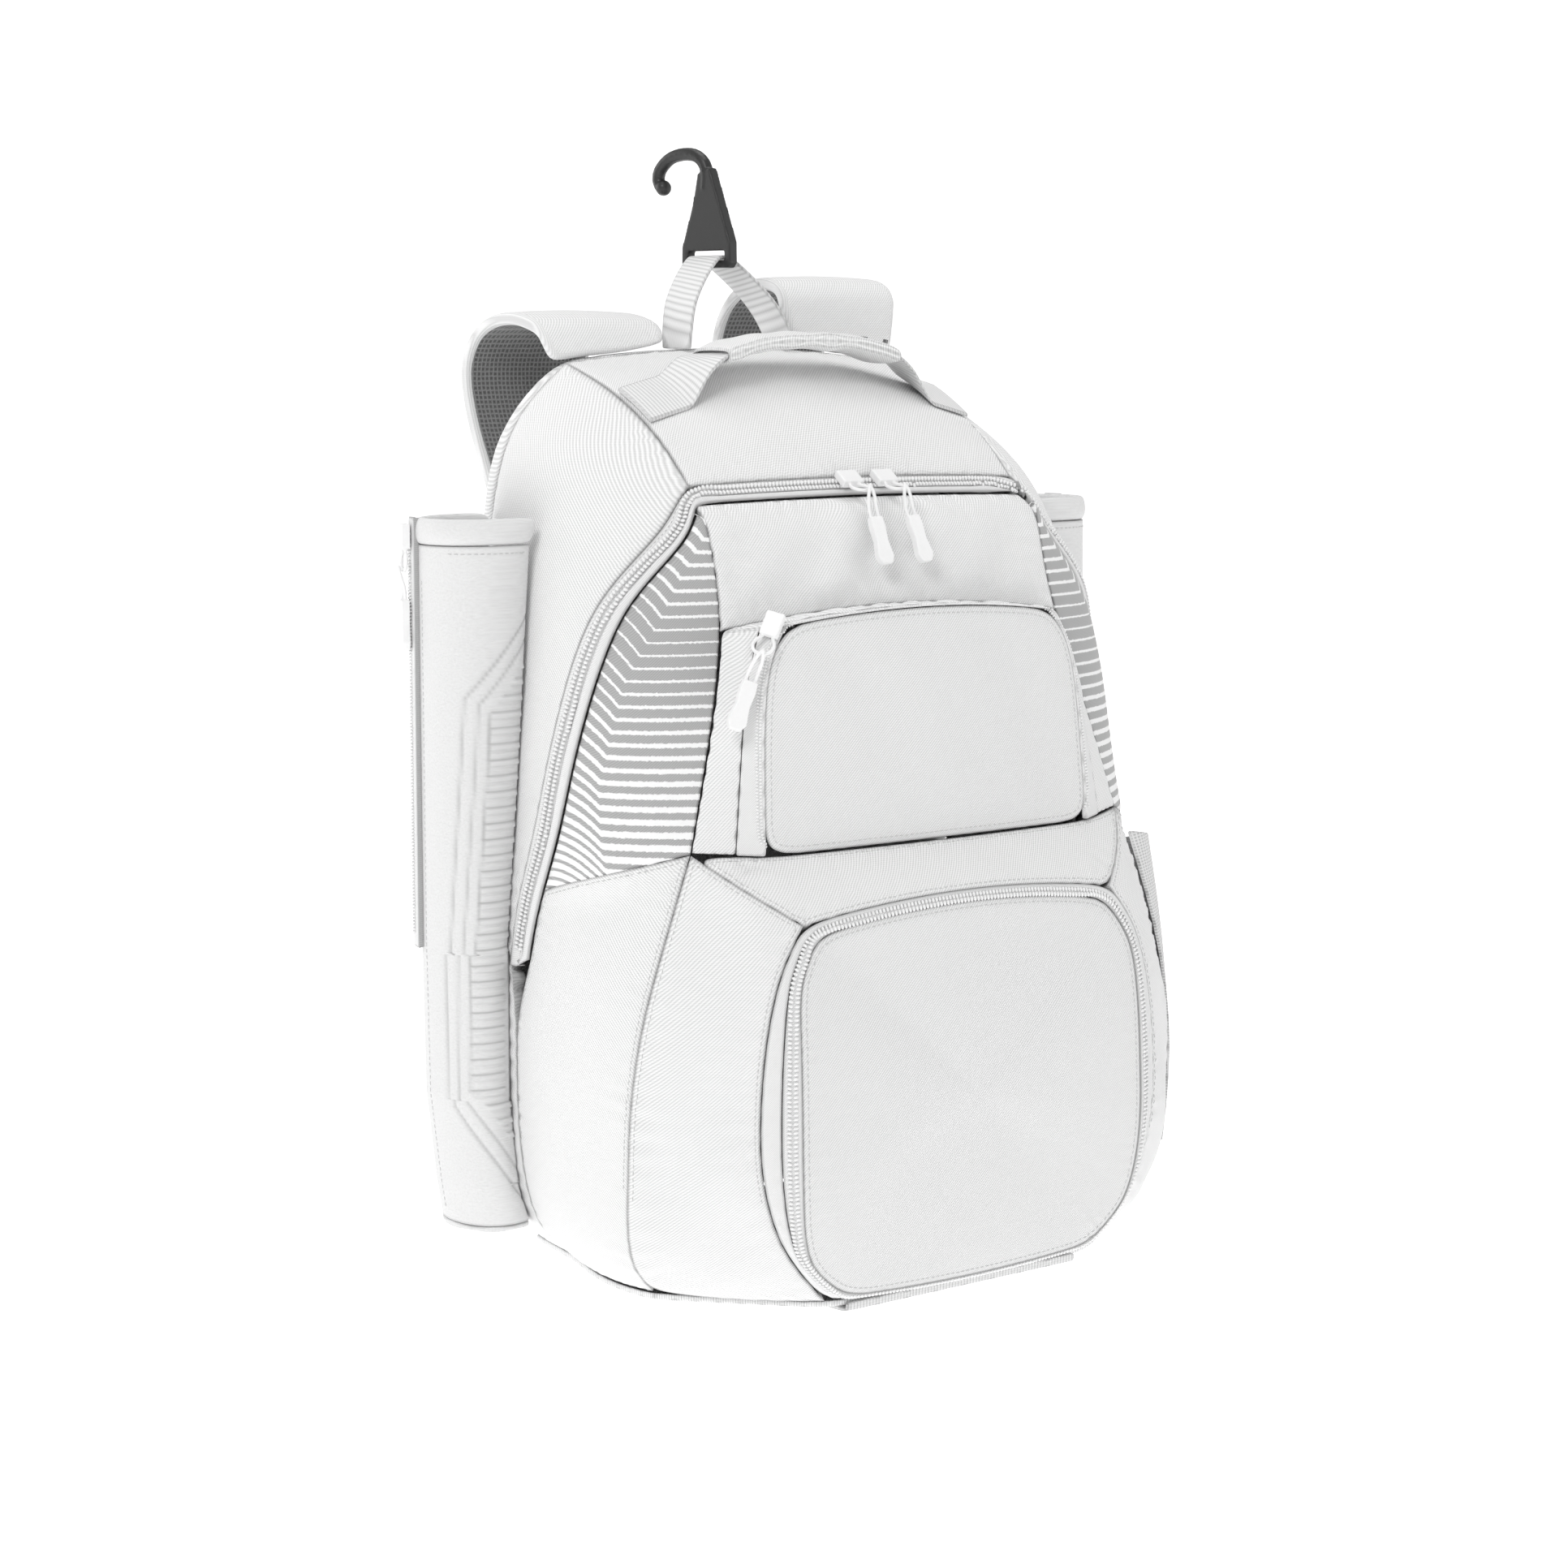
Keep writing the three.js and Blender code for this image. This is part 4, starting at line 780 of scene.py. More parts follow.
@dataclass(frozen=True)
class Finish:
    """A material: its colours, its texture and how it meets light."""

    name: str
    slot: str
    light: tuple
    # The colour in the texture's hollows, a painted shade of its relief.
    dark: tuple
    texture: Texture = Texture.TWILL
    pitch: float = 1.3
    bump: float = 0.25
    depth: float = 0.25
    roughness: float = 0.85
    sheen: float = 0.15
    # How dark the painted shade beside a seam gets.
    seam: float = 0.55
    by_object: bool = False

    def material(self) -> bpy.types.Material:
        """The finish's material, made once."""
        known = self.name + "_finish"
        if known in bpy.data.materials:
            return bpy.data.materials[known]
        made = bpy.data.materials.new(known)
        made.use_nodes = True
        tree = made.node_tree
        shader = tree.nodes["Principled BSDF"]
        shader.inputs["Roughness"].default_value = self.roughness
        shader.inputs["Sheen Weight"].default_value = self.sheen
        height = self.height(tree)
        colour = self.colour(tree, height)
        tree.links.new(colour, shader.inputs["Base Color"])
        bump = tree.nodes.new("ShaderNodeBump")
        bump.inputs["Strength"].default_value = self.bump
        bump.inputs["Distance"].default_value = self.depth * MM
        tree.links.new(height, bump.inputs["Height"])
        tree.links.new(bump.outputs[0], shader.inputs["Normal"])
        return made

    def height(self, tree: bpy.types.NodeTree) -> bpy.types.NodeSocket:
        """The texture's height on the piece's own coordinates."""
        source = tree.nodes.new("ShaderNodeTexCoord")
        node = tree.nodes.new("ShaderNodeGroup")
        node.node_tree = self.texture.group()
        node.inputs["Pitch"].default_value = self.pitch * MM
        tree.links.new(source.outputs["Object" if self.by_object else "UV"], node.inputs["Vector"])
        return node.outputs["Height"]

    def colour(self, tree: bpy.types.NodeTree, height: bpy.types.NodeSocket) -> bpy.types.NodeSocket:
        """The colour, with painted shade in the texture's hollows and painted shade beside a seam."""
        # Painted shade: the texture's hollows take the dark colour, its ridges the light one.
        woven = blended(tree, height, (*self.dark, 1), (*self.light, 1))
        # Painted shade beside a seam, from each vertex's distance to the border.
        near = ranged(tree, attribute(tree, "edge"), (0.0, SEAM_REACH), (self.seam, 1.0))
        return blended(tree, 0.0 if self.by_object else 1.0, woven, near, "MULTIPLY")


@dataclass(frozen=True)
class StripedFinish(Finish):
    """Grey cloth with white lines, placed by the mesh's own level and width attributes."""

    line: tuple = (0.84, 0.84, 0.84)

    def colour(self, tree: bpy.types.NodeTree, height: bpy.types.NodeSocket) -> bpy.types.NodeSocket:
        """The cloth's colour with its lines laid over it."""
        base = super().colour(tree, height)
        source = tree.nodes.new("ShaderNodeTexCoord")
        rough = tree.nodes.new("ShaderNodeTexNoise")
        rough.inputs["Scale"].default_value = 900.0
        tree.links.new(source.outputs["UV"], rough.inputs["Vector"])
        jitter = maths(tree, "MULTIPLY", maths(tree, "SUBTRACT", rough.outputs["Fac"], 0.5), 0.22)
        phase = maths(tree, "FRACT", maths(tree, "ADD", attribute(tree, "level"), 100.5))
        off = maths(tree, "ABSOLUTE", maths(tree, "SUBTRACT", phase, 0.5))
        inside = maths(tree, "SUBTRACT", attribute(tree, "width"), maths(tree, "ADD", off, jitter))
        return blended(tree, ranged(tree, inside, (-0.03, 0.03)), base, (*self.line, 1))


def grey(value: float) -> tuple:
    """A neutral grey."""
    return (value, value, value)


CLOTH = Finish("white_twill", "cloth", grey(0.92), grey(0.58), pitch=1.6, bump=0.5, depth=0.35)
# The same white twill as CLOTH, painted greyer as the shade on the front face of the pockets.
POCKET_PAINTED_SHADE = Finish("pocket_twill", "pocket_cloth", grey(0.87), grey(0.55), pitch=1.6, bump=0.5, depth=0.35)
STRIPED = StripedFinish("striped_cloth", "striped_cloth", grey(0.45), grey(0.31), pitch=1.1)
TAPE = Finish("zip_tape", "zip_tape", grey(0.82), grey(0.62), Texture.TWILL, pitch=1.0, bump=0.3)
TEETH = Finish(
    "zip_teeth", "zip_tape", grey(0.84), grey(0.80), Texture.GRAIN, by_object=True, roughness=0.5, bump=0.1
)
# Mid grey thread: painted shade of the stitch holes and grooves, laid on a paler real thread.
THREAD_PAINTED_SHADE = Finish("thread", "cloth", grey(0.60), grey(0.50), Texture.GRAIN, pitch=0.4, by_object=True)
NEOPRENE = Finish(
    "neoprene", "neoprene", grey(0.76), grey(0.63), Texture.GRAIN, pitch=1.1, bump=0.9, depth=0.45, seam=0.7
)
WEBBING = Finish("webbing", "webbing", grey(0.84), grey(0.55), Texture.RIBS, pitch=1.9, bump=0.6, depth=0.4)
BINDING = Finish("binding", "cloth", grey(0.84), grey(0.6), Texture.RIBS, pitch=1.1, bump=0.5, depth=0.3)
SPACER = Finish(
    "spacer_mesh", "cloth", grey(0.30), grey(0.10), Texture.CELLS, pitch=2.4, bump=0.8, depth=0.6
)
STRETCH = Finish("stretch_mesh", "stretch_mesh", grey(0.78), grey(0.45), Texture.CELLS, pitch=1.6, bump=0.5)
RUBBER = Finish(
    "pull_rubber", "pull_rubber", grey(0.86), grey(0.82), Texture.GRAIN,
    by_object=True, roughness=0.45, sheen=0, bump=0.08,
)
PLASTIC = Finish(
    "black_plastic", "black_plastic", grey(0.022), grey(0.014), Texture.GRAIN,
    pitch=0.5, by_object=True, roughness=0.42, sheen=0, bump=0.15,
)


@dataclass
class Panels:
    """The body's plain cloth panels, sewn along their borders."""

    site: Site
    fine: int = 3
    stitch_in: float = 2.6
    stitch_low: float = 60.0
    fold: float = 7.0

    def panel(
        self,
        node: str,
        plane: Plane,
        relief: Optional[Relief] = None,
        levels: Optional[int] = None,
        sewn_at: float = 0.0,
    ) -> None:
        """Makes one panel.

        Args:
            node: its CAD node.
            plane: the axes of its weave.
            relief: gives its own folds in millimetres, or None.
            levels: how fine it is, or None for the usual.
            sewn_at: the height over which its border is stitched, or 0 for no stitches.
        """
        made = Surface(self.site, node, levels or self.fine)
        seed = sum(map(ord, node))
        made.soften(seed=seed)
        if relief:
            made.push(relief(made))
        made.pucker(seed=seed + 1).tuck()
        if sewn_at:
            lines = made.edge_line(self.stitch_in, lambda p: p[:, 2] > sewn_at)
            sewn(node + "_stitches", Stitching().places(lines, made.tree()), THREAD_PAINTED_SHADE)
        made.finished(node + "_skin", CLOTH, plane, fold=self.fold)

    def build(self) -> None:
        """Makes the sides, the top, the base and the back."""
        for side in Side:
            self.panel("side_panel_" + side.word, Plane.FLANK, self.flank_folds)
            self.panel("lower_side_" + side.word, Plane.FLANK, sewn_at=self.stitch_low)
        self.panel("top_panel", Plane.CROWN)
        base = Surface(self.site, "base_panel", 2, closed=True)
        base.finished("base_skin", CLOTH, Plane.CROWN)
        back = Surface(self.site, "back_panel", 2, closed=True, crease=0.35)
        back.finished("back_pad", CLOTH, Plane.FRONT)
        LOG.info("body panels made")

    @staticmethod
    def flank_folds(surface: Surface) -> np.ndarray:
        """Soft upright folds beside the sleeve."""
        x, y, z = surface.bag.T
        fold = np.sin((y + 0.25 * z) / 9.0) * bell(z, 270, 70)
        return 1.1 * fold * step(surface.edge, 2, 16)


@dataclass
class Front:
    """The upper front, the striped panels beside it and the band below the middle pocket."""

    site: Site
    stripe_top: float = 357.8
    stripe_pitch: float = 5.9
    climb: float = 2.5
    bends: tuple = (
        (221, 162),
        (250, 160),
        (275, 155),
        (297.5, 149),
        (302.8, 146.4),
        (314.6, 140.1),
        (326, 133),
        (337, 125.9),
        (348.3, 118.2),
        (358.4, 109.9),
        (372, 101),
    )
    widths: tuple = (
        (0, 0.16),
        (4, 0.13),
        (6.5, 0.07),
        (9, 0.09),
        (14, 0.17),
        (20, 0.23),
        (26, 0.3),
        (30, 0.33),
    )

    def build(self, panels: Panels) -> None:
        """Makes the front's panels."""
        panels.panel("upper_front_panel", Plane.FRONT, self.upper_folds, 4)
        for side in Side:
            self.stripes(side)
            name = "lower_front_" + side.word
            panels.panel(name, Plane.FRONT, self.corner_folds, sewn_at=panels.stitch_low)
        panels.panel("lower_band", Plane.FRONT, sewn_at=panels.stitch_low)
        LOG.info("front panels made")

    @staticmethod
    def upper_folds(surface: Surface) -> np.ndarray:
        """Creases that fan out from the middle of the zipper and from the top corners."""
        x, y, z = surface.bag.T
        inside = step(surface.edge, 1, 14)
        fan = bell(x + 0.7 * (z - 330), 60, 14) + 0.8 * bell(x - 0.5 * (z - 330), -42, 12)
        drape = bell(x + 1.1 * (z - 350), -20, 16)
        return inside * (1.9 * fan - 1.7 * drape + 0.9 * ripples(surface.bag, 26, 5))

    @staticmethod
    def corner_folds(surface: Surface) -> np.ndarray:
        """A few slanting creases."""
        x, y, z = surface.bag.T
        return 0.9 * np.sin((np.abs(x) + 0.8 * z) / 9.5) * step(surface.edge, 2, 16)

    def stripes(self, side: Side) -> None:
        """Makes a striped panel and gives its mesh the stripes' heights and widths."""
        node = "chevron_panel_" + side.word
        made = Surface(self.site, node, 4)
        x, y, z = made.bag.T
        reach = np.abs(x)
        heights, places = np.array(self.bends).T
        low = np.full(len(z), heights[0] - 150.0)
        high = np.full(len(z), heights[-1] + 60.0)
        for _ in range(18):
            level = (low + high) / 2
            lifted = level + self.climb * np.maximum(0, reach - np.interp(level, heights, places))
            high = np.where(lifted > z, level, high)
            low = np.where(lifted > z, low, level)
        count = (self.stripe_top - level) / self.stripe_pitch
        made.pucker(0.2).tuck()
        width = np.interp(count, *np.array(self.widths).T)
        for key, values in (("level", count), ("width", width)):
            layer = made.mesh.attributes.new(key, "FLOAT", "POINT")
            layer.data.foreach_set("value", values.astype(np.float32))
        made.finished(node + "_skin", STRIPED, Plane.FRONT)


@dataclass(frozen=True)
class ZipProfile:
    """A zipper across its width: shares of its half width, from its outer edge to its inner one."""

    coil: float = -0.15
    gap: float = 0.27
    roll: float = 0.62
    roll_half: float = 0.32
    roll_tall: float = 1.0

    def relief(self, share: np.ndarray) -> np.ndarray:
        """How far the band stands off, in millimetres."""
        rise = np.maximum(0, 1 - ((share - self.roll) / self.roll_half) ** 2) ** 0.6
        sunk = 1.1 * bell(share, self.gap, 0.07) + 0.9 * bell(share, self.coil, 0.22)
        return self.roll_tall * rise - sunk


@dataclass
class Zipper:
    """A zipper: its band, two rows of teeth and a stitched edge."""

    site: Site
    node: str
    plane: Plane
    profile: ZipProfile
    inner: tuple
    core: Optional[tuple] = None
    closed: bool = False
    pitch: float = 2.1
    tooth: tuple = (0.8, 1.4, 0.85)
    row: float = 1.5
    lean: float = 14.0
    bound: bool = True
    rows: float = 0.0
    stitch_at: float = -0.8

    def build(self) -> None:
        """Makes the band and its teeth."""
        levels = 2 if self.rows else 4
        band = Surface(self.site, self.node, levels, self.core, rows=self.rows)
        line = sampled(chained(band.spine, self.first), 1.0 * MM, self.closed)
        flat = band.tree()
        across, half = self.across(band, line, flat)
        if self.bound:
            band.push(self.profile.relief(across / half))
        band.tuck(0.5, 1.0)
        surface = band.tree()
        sides = self.sides(line, flat)
        coil = self.profile.coil * float(np.median(half)) * MM if self.bound else 0.0
        even = sampled(line[::12], self.pitch * MM, self.closed)
        ways = self.sides(even, flat)
        lift = 0.95 if self.bound else 0.35
        places = []
        for way in (-1, 1):
            row = even + ways * (coil + way * self.row * MM)
            places += bead_places(row, surface, self.tooth, lift, way * self.lean)
        new_piece(self.node + "_teeth", scattered(bead(6, 4), places), TEETH)
        stitched = line + sides * (np.median(half) * MM) * self.stitch_at
        sewn(self.node + "_stitches", Stitching(2.6, 0.8, 0.28).places([stitched], surface), THREAD_PAINTED_SHADE)
        band.finished(self.node + "_band", TAPE, self.plane)
        LOG.info("%s made with %d teeth", self.node, len(places))

    def first(self, point: Vector) -> float:
        """The point with the least of this starts the line: low on the left."""
        x, y, z = self.site.bag(point)
        return z + 0.5 * x

    def sides(self, line: np.ndarray, tree: BVHTree) -> np.ndarray:
        """The way across the band at each point of a line, towards its inner edge."""
        ways = np.empty_like(line)
        aim = self.site.place(self.inner)
        for i, p in enumerate(line):
            up = tree.find_nearest(Vector(p))[1]
            ahead = Vector(line[min(i + 1, len(line) - 1)] - line[max(i - 1, 0)])
            side = up.cross(ahead).normalized()
            ways[i] = side if side.dot(Vector(aim - p)) > 0 else -side
        return ways

    def across(self, band: Surface, line: np.ndarray, tree: BVHTree) -> tuple:
        """How far each vertex is from the line, and half the band's width there."""
        ways = self.sides(line, tree)
        search = KDTree(len(line))
        for i, p in enumerate(line):
            search.insert(p, i)
        search.balance()
        near = np.array([search.find(p)[1] for p in band.points])
        off = ((band.points - line[near]) * ways[near]).sum(1) / MM
        half = np.maximum(np.abs(off) + band.edge, 2.0)
        return off, half


@dataclass
class MidPocket:
    """The middle pocket: a gathered edge, an arched zipper and a padded front."""

    site: Site
    rows: tuple = (2.0, 3.7)
    pitch: float = 1.6
    tooth: tuple = (0.55, 0.85, 0.5)

    def build(self) -> None:
        """Makes the pocket's pieces."""
        edge = Surface(self.site, "mid_pocket_gusset", 3, closed=True, crease=0.7)
        x, y, z = edge.bag.T
        gathers = np.sin(x / 4.1 + 1.3 * np.sin(x / 17)) * step(z, 262, 285)
        edge.push(1.1 * gathers * step(edge.edge, 0, 4))
        edge.pucker(0.3, seed=8).tuck()
        edge.finished("mid_pocket_edge", CLOTH, Plane.FRONT)
        front = Surface(self.site, "mid_pocket_front", 4)
        front.soften(0.5, 60, 12).pucker(0.2, seed=6).tuck(0.8, 2.0)
        lines = front.edge_line(3.4, lambda p: p[:, 2] > 215)
        sewn("mid_pocket_stitches", Stitching().places(lines, front.tree()), THREAD_PAINTED_SHADE)
        self.zipper(front)
        front.finished("mid_pocket_pad", POCKET_PAINTED_SHADE, Plane.FRONT)
        LOG.info("middle pocket made")

    def zipper(self, front: Surface) -> None:
        """Makes the arched zipper round the pocket's front."""
        band = Surface(self.site, "mid_pocket_zip", 3, closed=True, crease=0.7)
        onto = band.tree()
        places = []
        for off, lean in zip(self.rows, (12.0, -12.0)):
            for line in front.edge_line(-off, lambda p: p[:, 2] > 222, onto):
                even = sampled(line[::4], self.pitch * MM)
                places += bead_places(even, onto, self.tooth, 0.2, lean)
        new_piece("mid_pocket_teeth", scattered(bead(6, 4), places), TEETH)
        band.finished("mid_pocket_band", TAPE, Plane.FRONT)


@dataclass
class LowerPocket:
    """The lower pocket: its gusset, padded lid and hinge."""

    site: Site

    def build(self) -> None:
        """Makes the pocket's pieces."""
        wall = Surface(self.site, "lower_pocket_gusset", 3)
        wall.pucker(0.25, seed=21).tuck(0.6, 1.5)
        wall.finished("lower_pocket_wall", TAPE, Plane.FRONT)
        lid = Surface(self.site, "lower_pocket_front", 4)
        lid.soften(0.6, 80, 14).pucker(0.25, 7, 8, 17).tuck(0.9, 2.4)
        lines = lid.edge_line(3.2, lambda p: p[:, 2] > -50)
        sewn("lid_stitches", Stitching().places(lines, lid.tree()), THREAD_PAINTED_SHADE)
        lid.finished("lid_pad", POCKET_PAINTED_SHADE, Plane.FRONT)
        flap = Surface(self.site, "pocket_hinge_flap", 3, closed=True)
        flap.finished("hinge_flap", WEBBING, Plane.FRONT)
        LOG.info("lower pocket made")


@dataclass
class StretchPocket:
    """The stretch pocket on the right side."""

    site: Site

    def build(self) -> None:
        """Makes the pocket."""
        net = Surface(self.site, "mesh_pocket_right", 3, closed=True, crease=0.6)
        net.finished("stretch_pocket", STRETCH, Plane.FLANK)
        LOG.info("stretch pocket made")


@dataclass
class BatSleeve:
    """A neoprene sleeve with a pressed ladder, a rolled rim and a capped foot."""

    site: Site
    side: Side
    middle: tuple = (175.0, -17.0)
    rung_pitch: float = 7.6
    rung_top: float = 282.0
    rung_low: float = 96.0
    ladder_in: float = 3.0
    ladder_out: float = 22.0
    frame_out: float = 35.0
    zip_foot: float = 165.5
    mark: float = 0.9

    def build(self) -> None:
        """Makes the sleeve's pieces."""
        word = self.side.word
        core = (self.middle[0] * self.side.value, self.middle[1])
        tube = Surface(self.site, "bat_sleeve_" + word, 3, core, rows=5.0, facing=0.2)
        u = self.around(tube)
        relief, line = self.ladder(u, tube.bag[:, 2])
        tube.push(relief)
        # Painted shade along the pressed lines: the border distance is cut there, so the seam shade darkens
        # them.
        tube.edge = np.minimum(tube.edge, SEAM_REACH * (1 - line))
        tree = tube.tree()
        tube.finished("sleeve_" + word, NEOPRENE, Plane.FLANK, fold=3.4)
        rim = Surface(self.site, "sleeve_rim_" + word, 3, closed=True, crease=0.25)
        z = rim.bag[:, 2]
        rim.push(0.9 * np.maximum(0, 1 - ((z - 366.5) / 6.5) ** 2))
        rim.finished("sleeve_rim_roll_" + word, NEOPRENE, Plane.FLANK)
        cap = Surface(self.site, "sleeve_base_" + word, 3, closed=True, crease=0.3)
        cap.finished("sleeve_cap_" + word, NEOPRENE, Plane.CROWN)
        self.stitches(tree, word)
        LOG.info("%s sleeve made", word)

    def around(self, tube: Surface) -> np.ndarray:
        """How far each vertex is from the front seam, around the sleeve, in millimetres."""
        x, y, z = tube.bag.T
        x = np.abs(x)
        angle = np.arctan2(-(y - self.middle[1]), -(x - self.middle[0])) % (2 * np.pi)
        u = np.empty(len(x))
        rows = []
        order = np.argsort(z)
        groups = np.split(order, np.flatnonzero(np.diff(z[order]) > 0.08) + 1)
        for group in groups:
            line = group[np.argsort(angle[group])]
            steps = np.hypot(np.diff(x[line]), np.diff(y[line]))
            along = np.concatenate([[0], np.cumsum(steps)])
            rows.append((z[line[0]], line, along, np.interp(self.mark, angle[line], along)))
        foot = next(mark for height, _, _, mark in rows if height > self.zip_foot)
        for height, line, along, mark in rows:
            u[line] = along if height > self.zip_foot else along + foot - mark
        return u

    def ladder(self, u: np.ndarray, z: np.ndarray) -> tuple:
        """The pressed relief: rungs, and two pressed lines round them.

        Args:
            u: how far round from the front seam.
            z: the height.

        Returns:
            The relief in millimetres, and how much painted shade each place gets along the pressed lines.
        """
        peak = self.rung_top + 1.15 * (self.ladder_out - u)
        foot = self.rung_low - 1.5 * (self.ladder_out - u)
        inside = step(u, self.ladder_in - 0.8, self.ladder_in)
        inside = inside * (1 - step(u, self.ladder_out - 0.6, self.ladder_out + 0.2))
        tall = (1 - step(z, peak - 1.2, peak)) * step(z, foot, foot + 1.2)
        t = ((self.rung_top - z) / self.rung_pitch) % 1.0
        rung = 0.75 * step(t, 0.1, 0.2) * (1 - 0.6 * step(t, 0.45, 0.6))
        rung = rung + 0.12 * np.sin(t * 6 * np.pi) - 0.35
        shape = inside * tall * rung
        # Painted shade at each rung's top edge and in its middle.
        line = inside * tall * np.maximum(bell(t, 0.12, 0.06), 0.5 * bell(t, 0.52, 0.06))
        line = np.maximum(line, tall * bell(u, self.ladder_out, 0.6))
        for out, width, rise in ((self.ladder_out + 6, 0.7, 0.35), (self.frame_out, 0.8, 0.55)):
            gap = out - self.ladder_out
            top = peak + gap * 1.6
            low = foot - gap * 1.9
            edge = bell(u, out, width) * (z < self.rung_top + gap * 0.45) * (z > self.rung_low - gap * 0.5)
            over = bell(z - top, 0, 1.2) * (u < out) * (z > self.rung_top)
            under = bell(z - low, 0, 1.4) * (u < out) * (z < self.rung_low)
            around = np.maximum(np.maximum(edge, over), under)
            shape = shape - rise * around
            line = np.maximum(line, 0.8 * around)
        return 1.4 * shape, np.clip(line, 0, 1)

    def stitches(self, tree: BVHTree, word: str) -> None:
        """Sews the line beside the zipper and the one below the rim."""
        sign = self.side.value
        upright = self.site.place([(sign * 203.5, -17.0, z) for z in range(36, 358, 6)])
        around = []
        for k in range(26):
            angle = math.radians(-150 + 118 * k / 25)
            out = (self.middle[0] + 60 * math.cos(angle), self.middle[1] + 60 * math.sin(angle))
            start = self.site.place((sign * out[0], out[1], 356.5))
            aim = self.site.place((sign * self.middle[0], self.middle[1], 356.5)) - start
            hit = tree.ray_cast(Vector(start), Vector(aim).normalized())[0]
            if hit is not None:
                around.append(hit)
        places = Stitching().places([upright, np.array([list(p) for p in around])], tree)
        sewn("sleeve_stitches_" + word, places, THREAD_PAINTED_SHADE)


@dataclass
class Harness:
    """The shoulder straps, the handle and the hook's strap."""

    site: Site
    bind: float = 3.6

    def build(self) -> None:
        """Makes the soft pieces at the top and the back."""
        for side in Side:
            self.strap(side)
            web = Surface(self.site, "strap_webbing_" + side.word, 2, closed=True)
            web.finished("strap_web_" + side.word, WEBBING, Plane.FRONT)
        wrap = Surface(self.site, "handle_wrap", 2, closed=True, crease=0.3)
        x, y, z = wrap.bag.T
        wrap.push(0.45 * ripples(wrap.bag, 16, 31) * step(54 - np.abs(x), 0, 8))
        wrap.finished("handle_pad", CLOTH, Plane.CROWN)
        for node in ("handle_webbing", "hook_strap"):
            band = Surface(self.site, node, 2, closed=True)
            band.finished(node + "_band", WEBBING, Plane.CROWN)
        LOG.info("harness made")

    def strap(self, side: Side) -> None:
        """Makes one padded strap: cloth outside, spacer mesh inside and a bound edge."""
        pad = Surface(self.site, "shoulder_strap_" + side.word, 3, closed=True, crease=0.3)
        mesh = pad.mesh
        pad.push(0.4 * bell(pad.edge, 0, self.bind))
        normals = pad.normals()
        x, y, z = pad.bag.T
        inner = normals[:, 1] * (15 - y) + normals[:, 2] * (np.minimum(z, 425) - z) > 0
        for finish in (CLOTH, SPACER, BINDING):
            mesh.materials.append(finish.material())
        piece = pad.finished("strap_pad_" + side.word, CLOTH, Plane.FRONT)
        index = []
        for face in mesh.polygons:
            verts = list(face.vertices)
            near_edge = np.mean(pad.edge[verts]) < self.bind
            index.append(2 if near_edge else int(np.mean(inner[verts]) > 0.5))
        mesh.polygons.foreach_set("material_index", index)


@dataclass
class Mouldings:
    """The hook, the adjusters, the sliders and the pulls."""

    site: Site

    def build(self) -> None:
        """Rounds each moulded piece's edges."""
        self.moulded("fence_hook", 0.65, 4, PLASTIC)
        for side in Side:
            self.moulded("strap_adjuster_" + side.word, 0.7, 3, PLASTIC)
        for name in ("main_left", "main_right", "mid", "sleeve_left", "sleeve_right"):
            for part in ("slider", "pull"):
                self.moulded(f"{name}_{part}", 0.4, 3, RUBBER)
        LOG.info("mouldings made")

    def moulded(self, node: str, grain: float, passes: int, finish: Finish) -> None:
        """Rounds a copy of a node.

        Args:
            node: the CAD node.
            grain: the size of the new faces, in millimetres.
            passes: how often the copy is smoothed.
            finish: what it is made of.
        """
        mesh = self.site.nodes[node].data.copy()
        mesh.materials.clear()
        remesh = {"mode": "VOXEL", "voxel_size": grain * MM}
        made = modified(mesh, ("REMESH", remesh), ("SMOOTH", {"iterations": passes}))
        new_piece(node + "_moulding", made, finish, (node,))


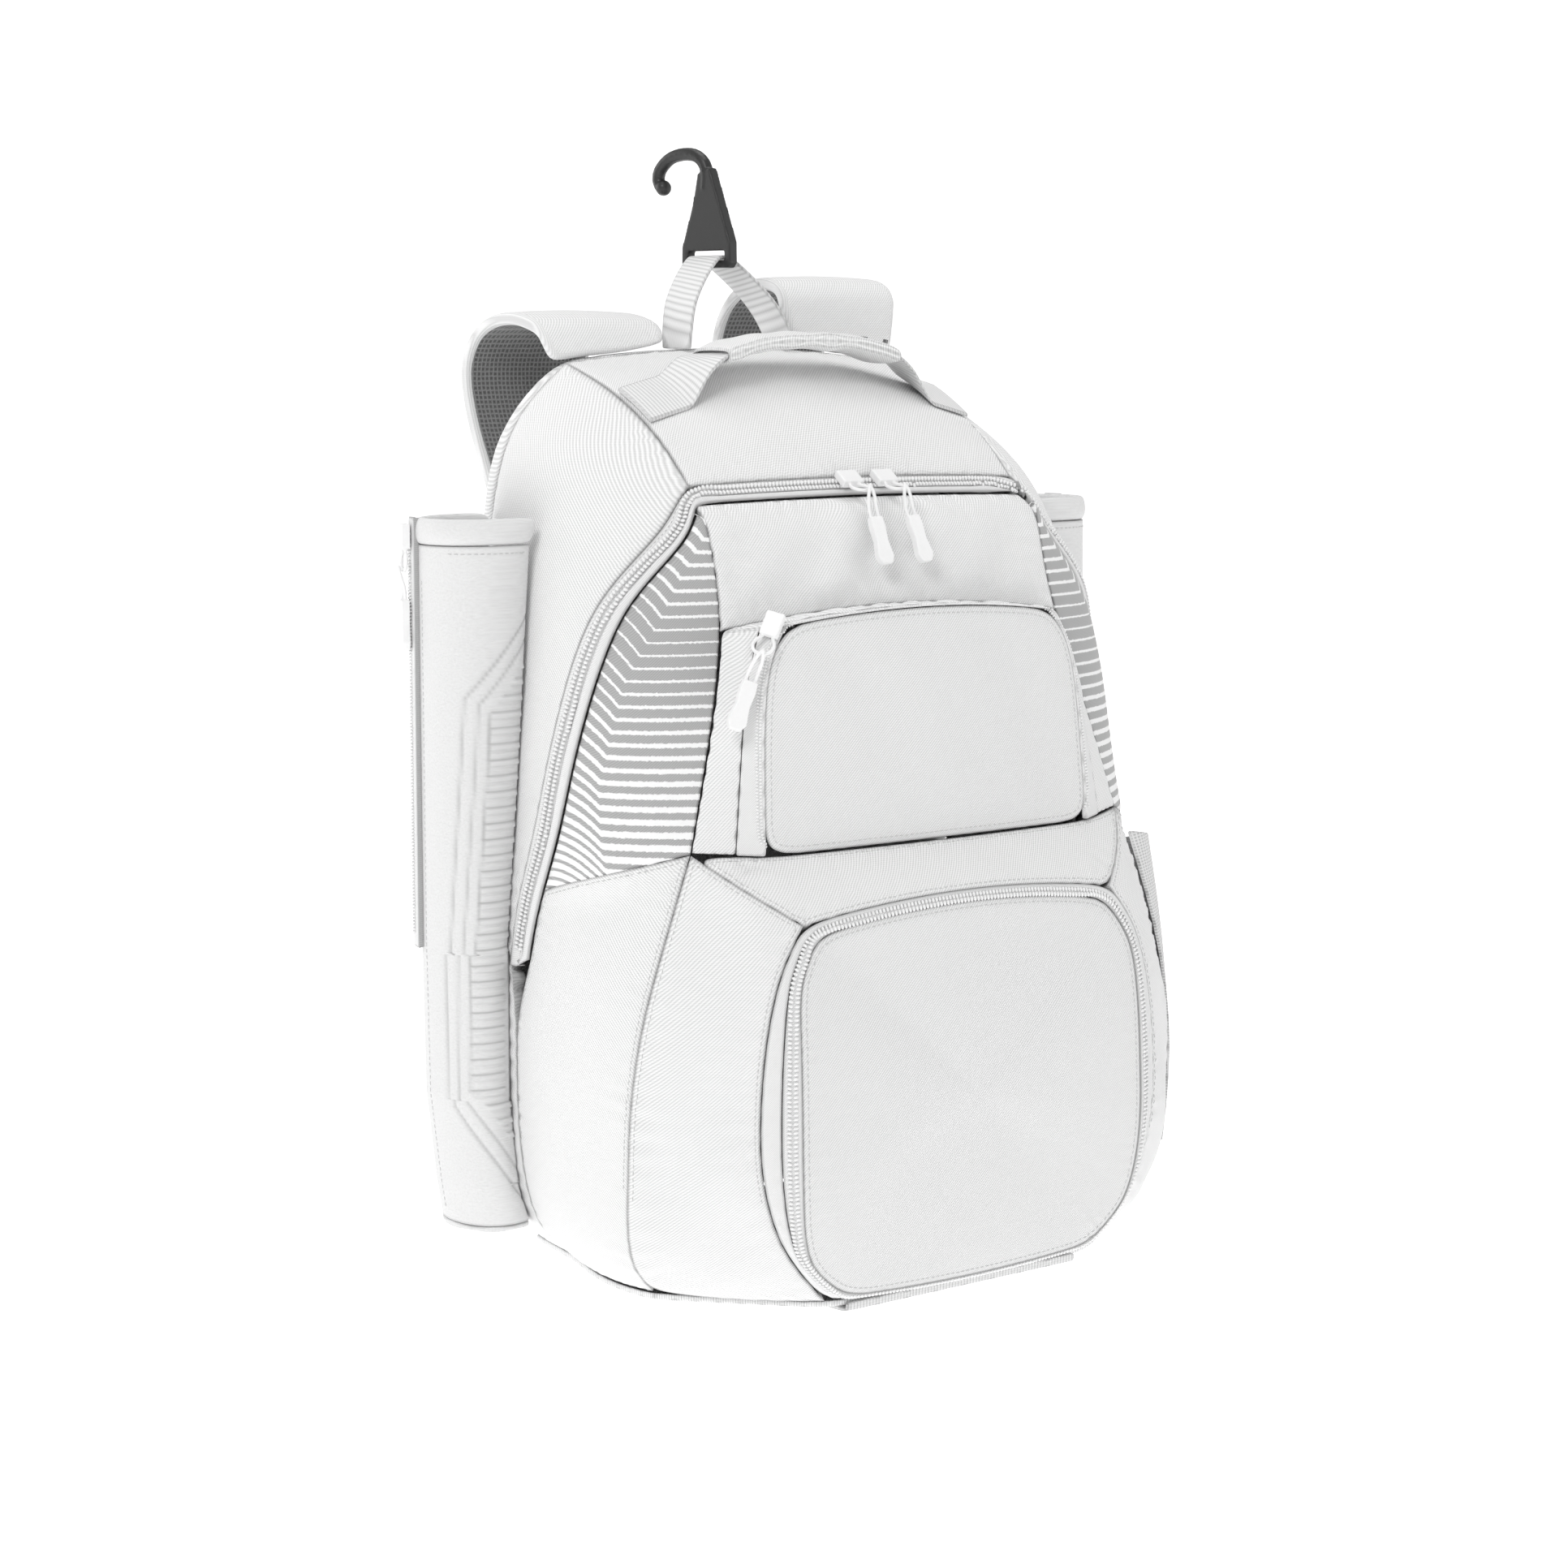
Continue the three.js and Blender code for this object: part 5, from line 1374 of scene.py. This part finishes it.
@dataclass
class Studio:
    """The camera, the lights and the pale floor."""

    camera_at: tuple = (-1.00487, -1.41953, -0.0919)
    camera_aim: tuple = (0.003126, -0.08183, -0.3185)
    lens: float = 75.455
    sensor: float = 36.0
    floor_drop: float = 0.13
    lights: tuple = (
        ("key", (-1.9, -1.1, 1.5), 1.0, 27.0),
        ("fill", (1.9, -1.6, 0.5), 2.0, 10.0),
        ("top", (0.1, 0.1, 1.9), 1.4, 17.0),
        ("rear", (-1.2, 1.8, 0.6), 1.4, 8.0),
    )

    def build(self) -> None:
        """Places the camera, the lights and the floor."""
        camera = bpy.data.cameras.new("camera")
        camera.lens = self.lens
        camera.sensor_width = self.sensor
        camera.clip_end = 50
        holder = placed("camera", camera)
        holder.location = self.camera_at
        aim = Vector(self.camera_aim) - Vector(self.camera_at)
        holder.rotation_euler = aim.to_track_quat("-Z", "Y").to_euler()
        bpy.context.scene.camera = holder
        middle = Vector(self.camera_aim)
        for name, at, size, watts in self.lights:
            light = bpy.data.lights.new(name, "AREA")
            light.size = size
            light.energy = watts
            lamp = placed(name, light)
            lamp.location = at
            lamp.rotation_euler = (middle - Vector(at)).to_track_quat("-Z", "Y").to_euler()
        self.world()
        self.floor()

    def world(self) -> None:
        """An even pale sky."""
        world = bpy.data.worlds.new("pale")
        bpy.context.scene.world = world
        world.use_nodes = True
        sky = world.node_tree.nodes["Background"]
        sky.inputs["Color"].default_value = (1, 1, 1, 1)
        sky.inputs["Strength"].default_value = 0.45
        bpy.context.scene.view_settings.view_transform = "Standard"

    def floor(self) -> None:
        """A floor that curves up behind the bag."""
        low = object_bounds()[0].z - self.floor_drop
        bm = bmesh.new()
        start = bm.verts.new((-40, -7, low))
        other = bm.verts.new((40, -7, low))
        edge = bm.edges.new((start, other))
        made = bmesh.ops.extrude_edge_only(bm, edges=[edge])["geom"]
        far = [g for g in made if isinstance(g, bmesh.types.BMVert)]
        bmesh.ops.translate(bm, verts=far, vec=(0, 12, 0))
        rear = [e for e in bm.edges if all(v in far for v in e.verts)]
        quarter = math.radians(90)
        bmesh.ops.spin(bm, geom=rear, cent=(0, 5, low + 3), axis=(1, 0, 0), angle=quarter, steps=24)
        bmesh.ops.recalc_face_normals(bm, faces=bm.faces[:])
        mesh = bpy.data.meshes.new("floor")
        bm.to_mesh(mesh)
        bm.free()
        mesh.shade_smooth()
        paper = bpy.data.materials.new("floor_paper")
        paper.use_nodes = True
        shader = paper.node_tree.nodes["Principled BSDF"]
        shader.inputs["Base Color"].default_value = (*grey(0.93), 1)
        shader.inputs["Roughness"].default_value = 0.9
        shader.inputs["Emission Color"].default_value = (1, 1, 1, 1)
        shader.inputs["Emission Strength"].default_value = 0.62
        mesh.materials.append(paper)
        placed("floor", mesh)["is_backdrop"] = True


def zippers(site: Site) -> list:
    """The bag's zippers."""
    profile = ZipProfile()
    found = [
        Zipper(site, "main_zip", Plane.FRONT, profile, (0, -130, 280)),
        Zipper(site, "lower_pocket_zip", Plane.FRONT, profile, (0, -160, 100), closed=True, bound=False),
    ]
    for side in Side:
        fine = {"pitch": 1.6, "row": 1.0, "tooth": (0.62, 1.05, 0.62), "rows": 7.0, "bound": False}
        inner = (side.value * 190, -60, 270)
        core = (side.value * 175.0, -17.0)
        found.append(Zipper(site, "sleeve_zip_" + side.word, Plane.FLANK, profile, inner, core, **fine))
    return found


def main() -> None:
    """Builds the scene in order."""
    logging.basicConfig(level=logging.INFO, format="%(message)s")
    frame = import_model()
    site = Site.loaded(frame)
    Studio().build()
    panels = Panels(site)
    panels.build()
    Front(site).build(panels)
    for zipper in zippers(site):
        zipper.build()
    MidPocket(site).build()
    LowerPocket(site).build()
    StretchPocket(site).build()
    for side in Side:
        BatSleeve(site, side).build()
    Harness(site).build()
    Mouldings(site).build()


if __name__ == "__main__":
    main()
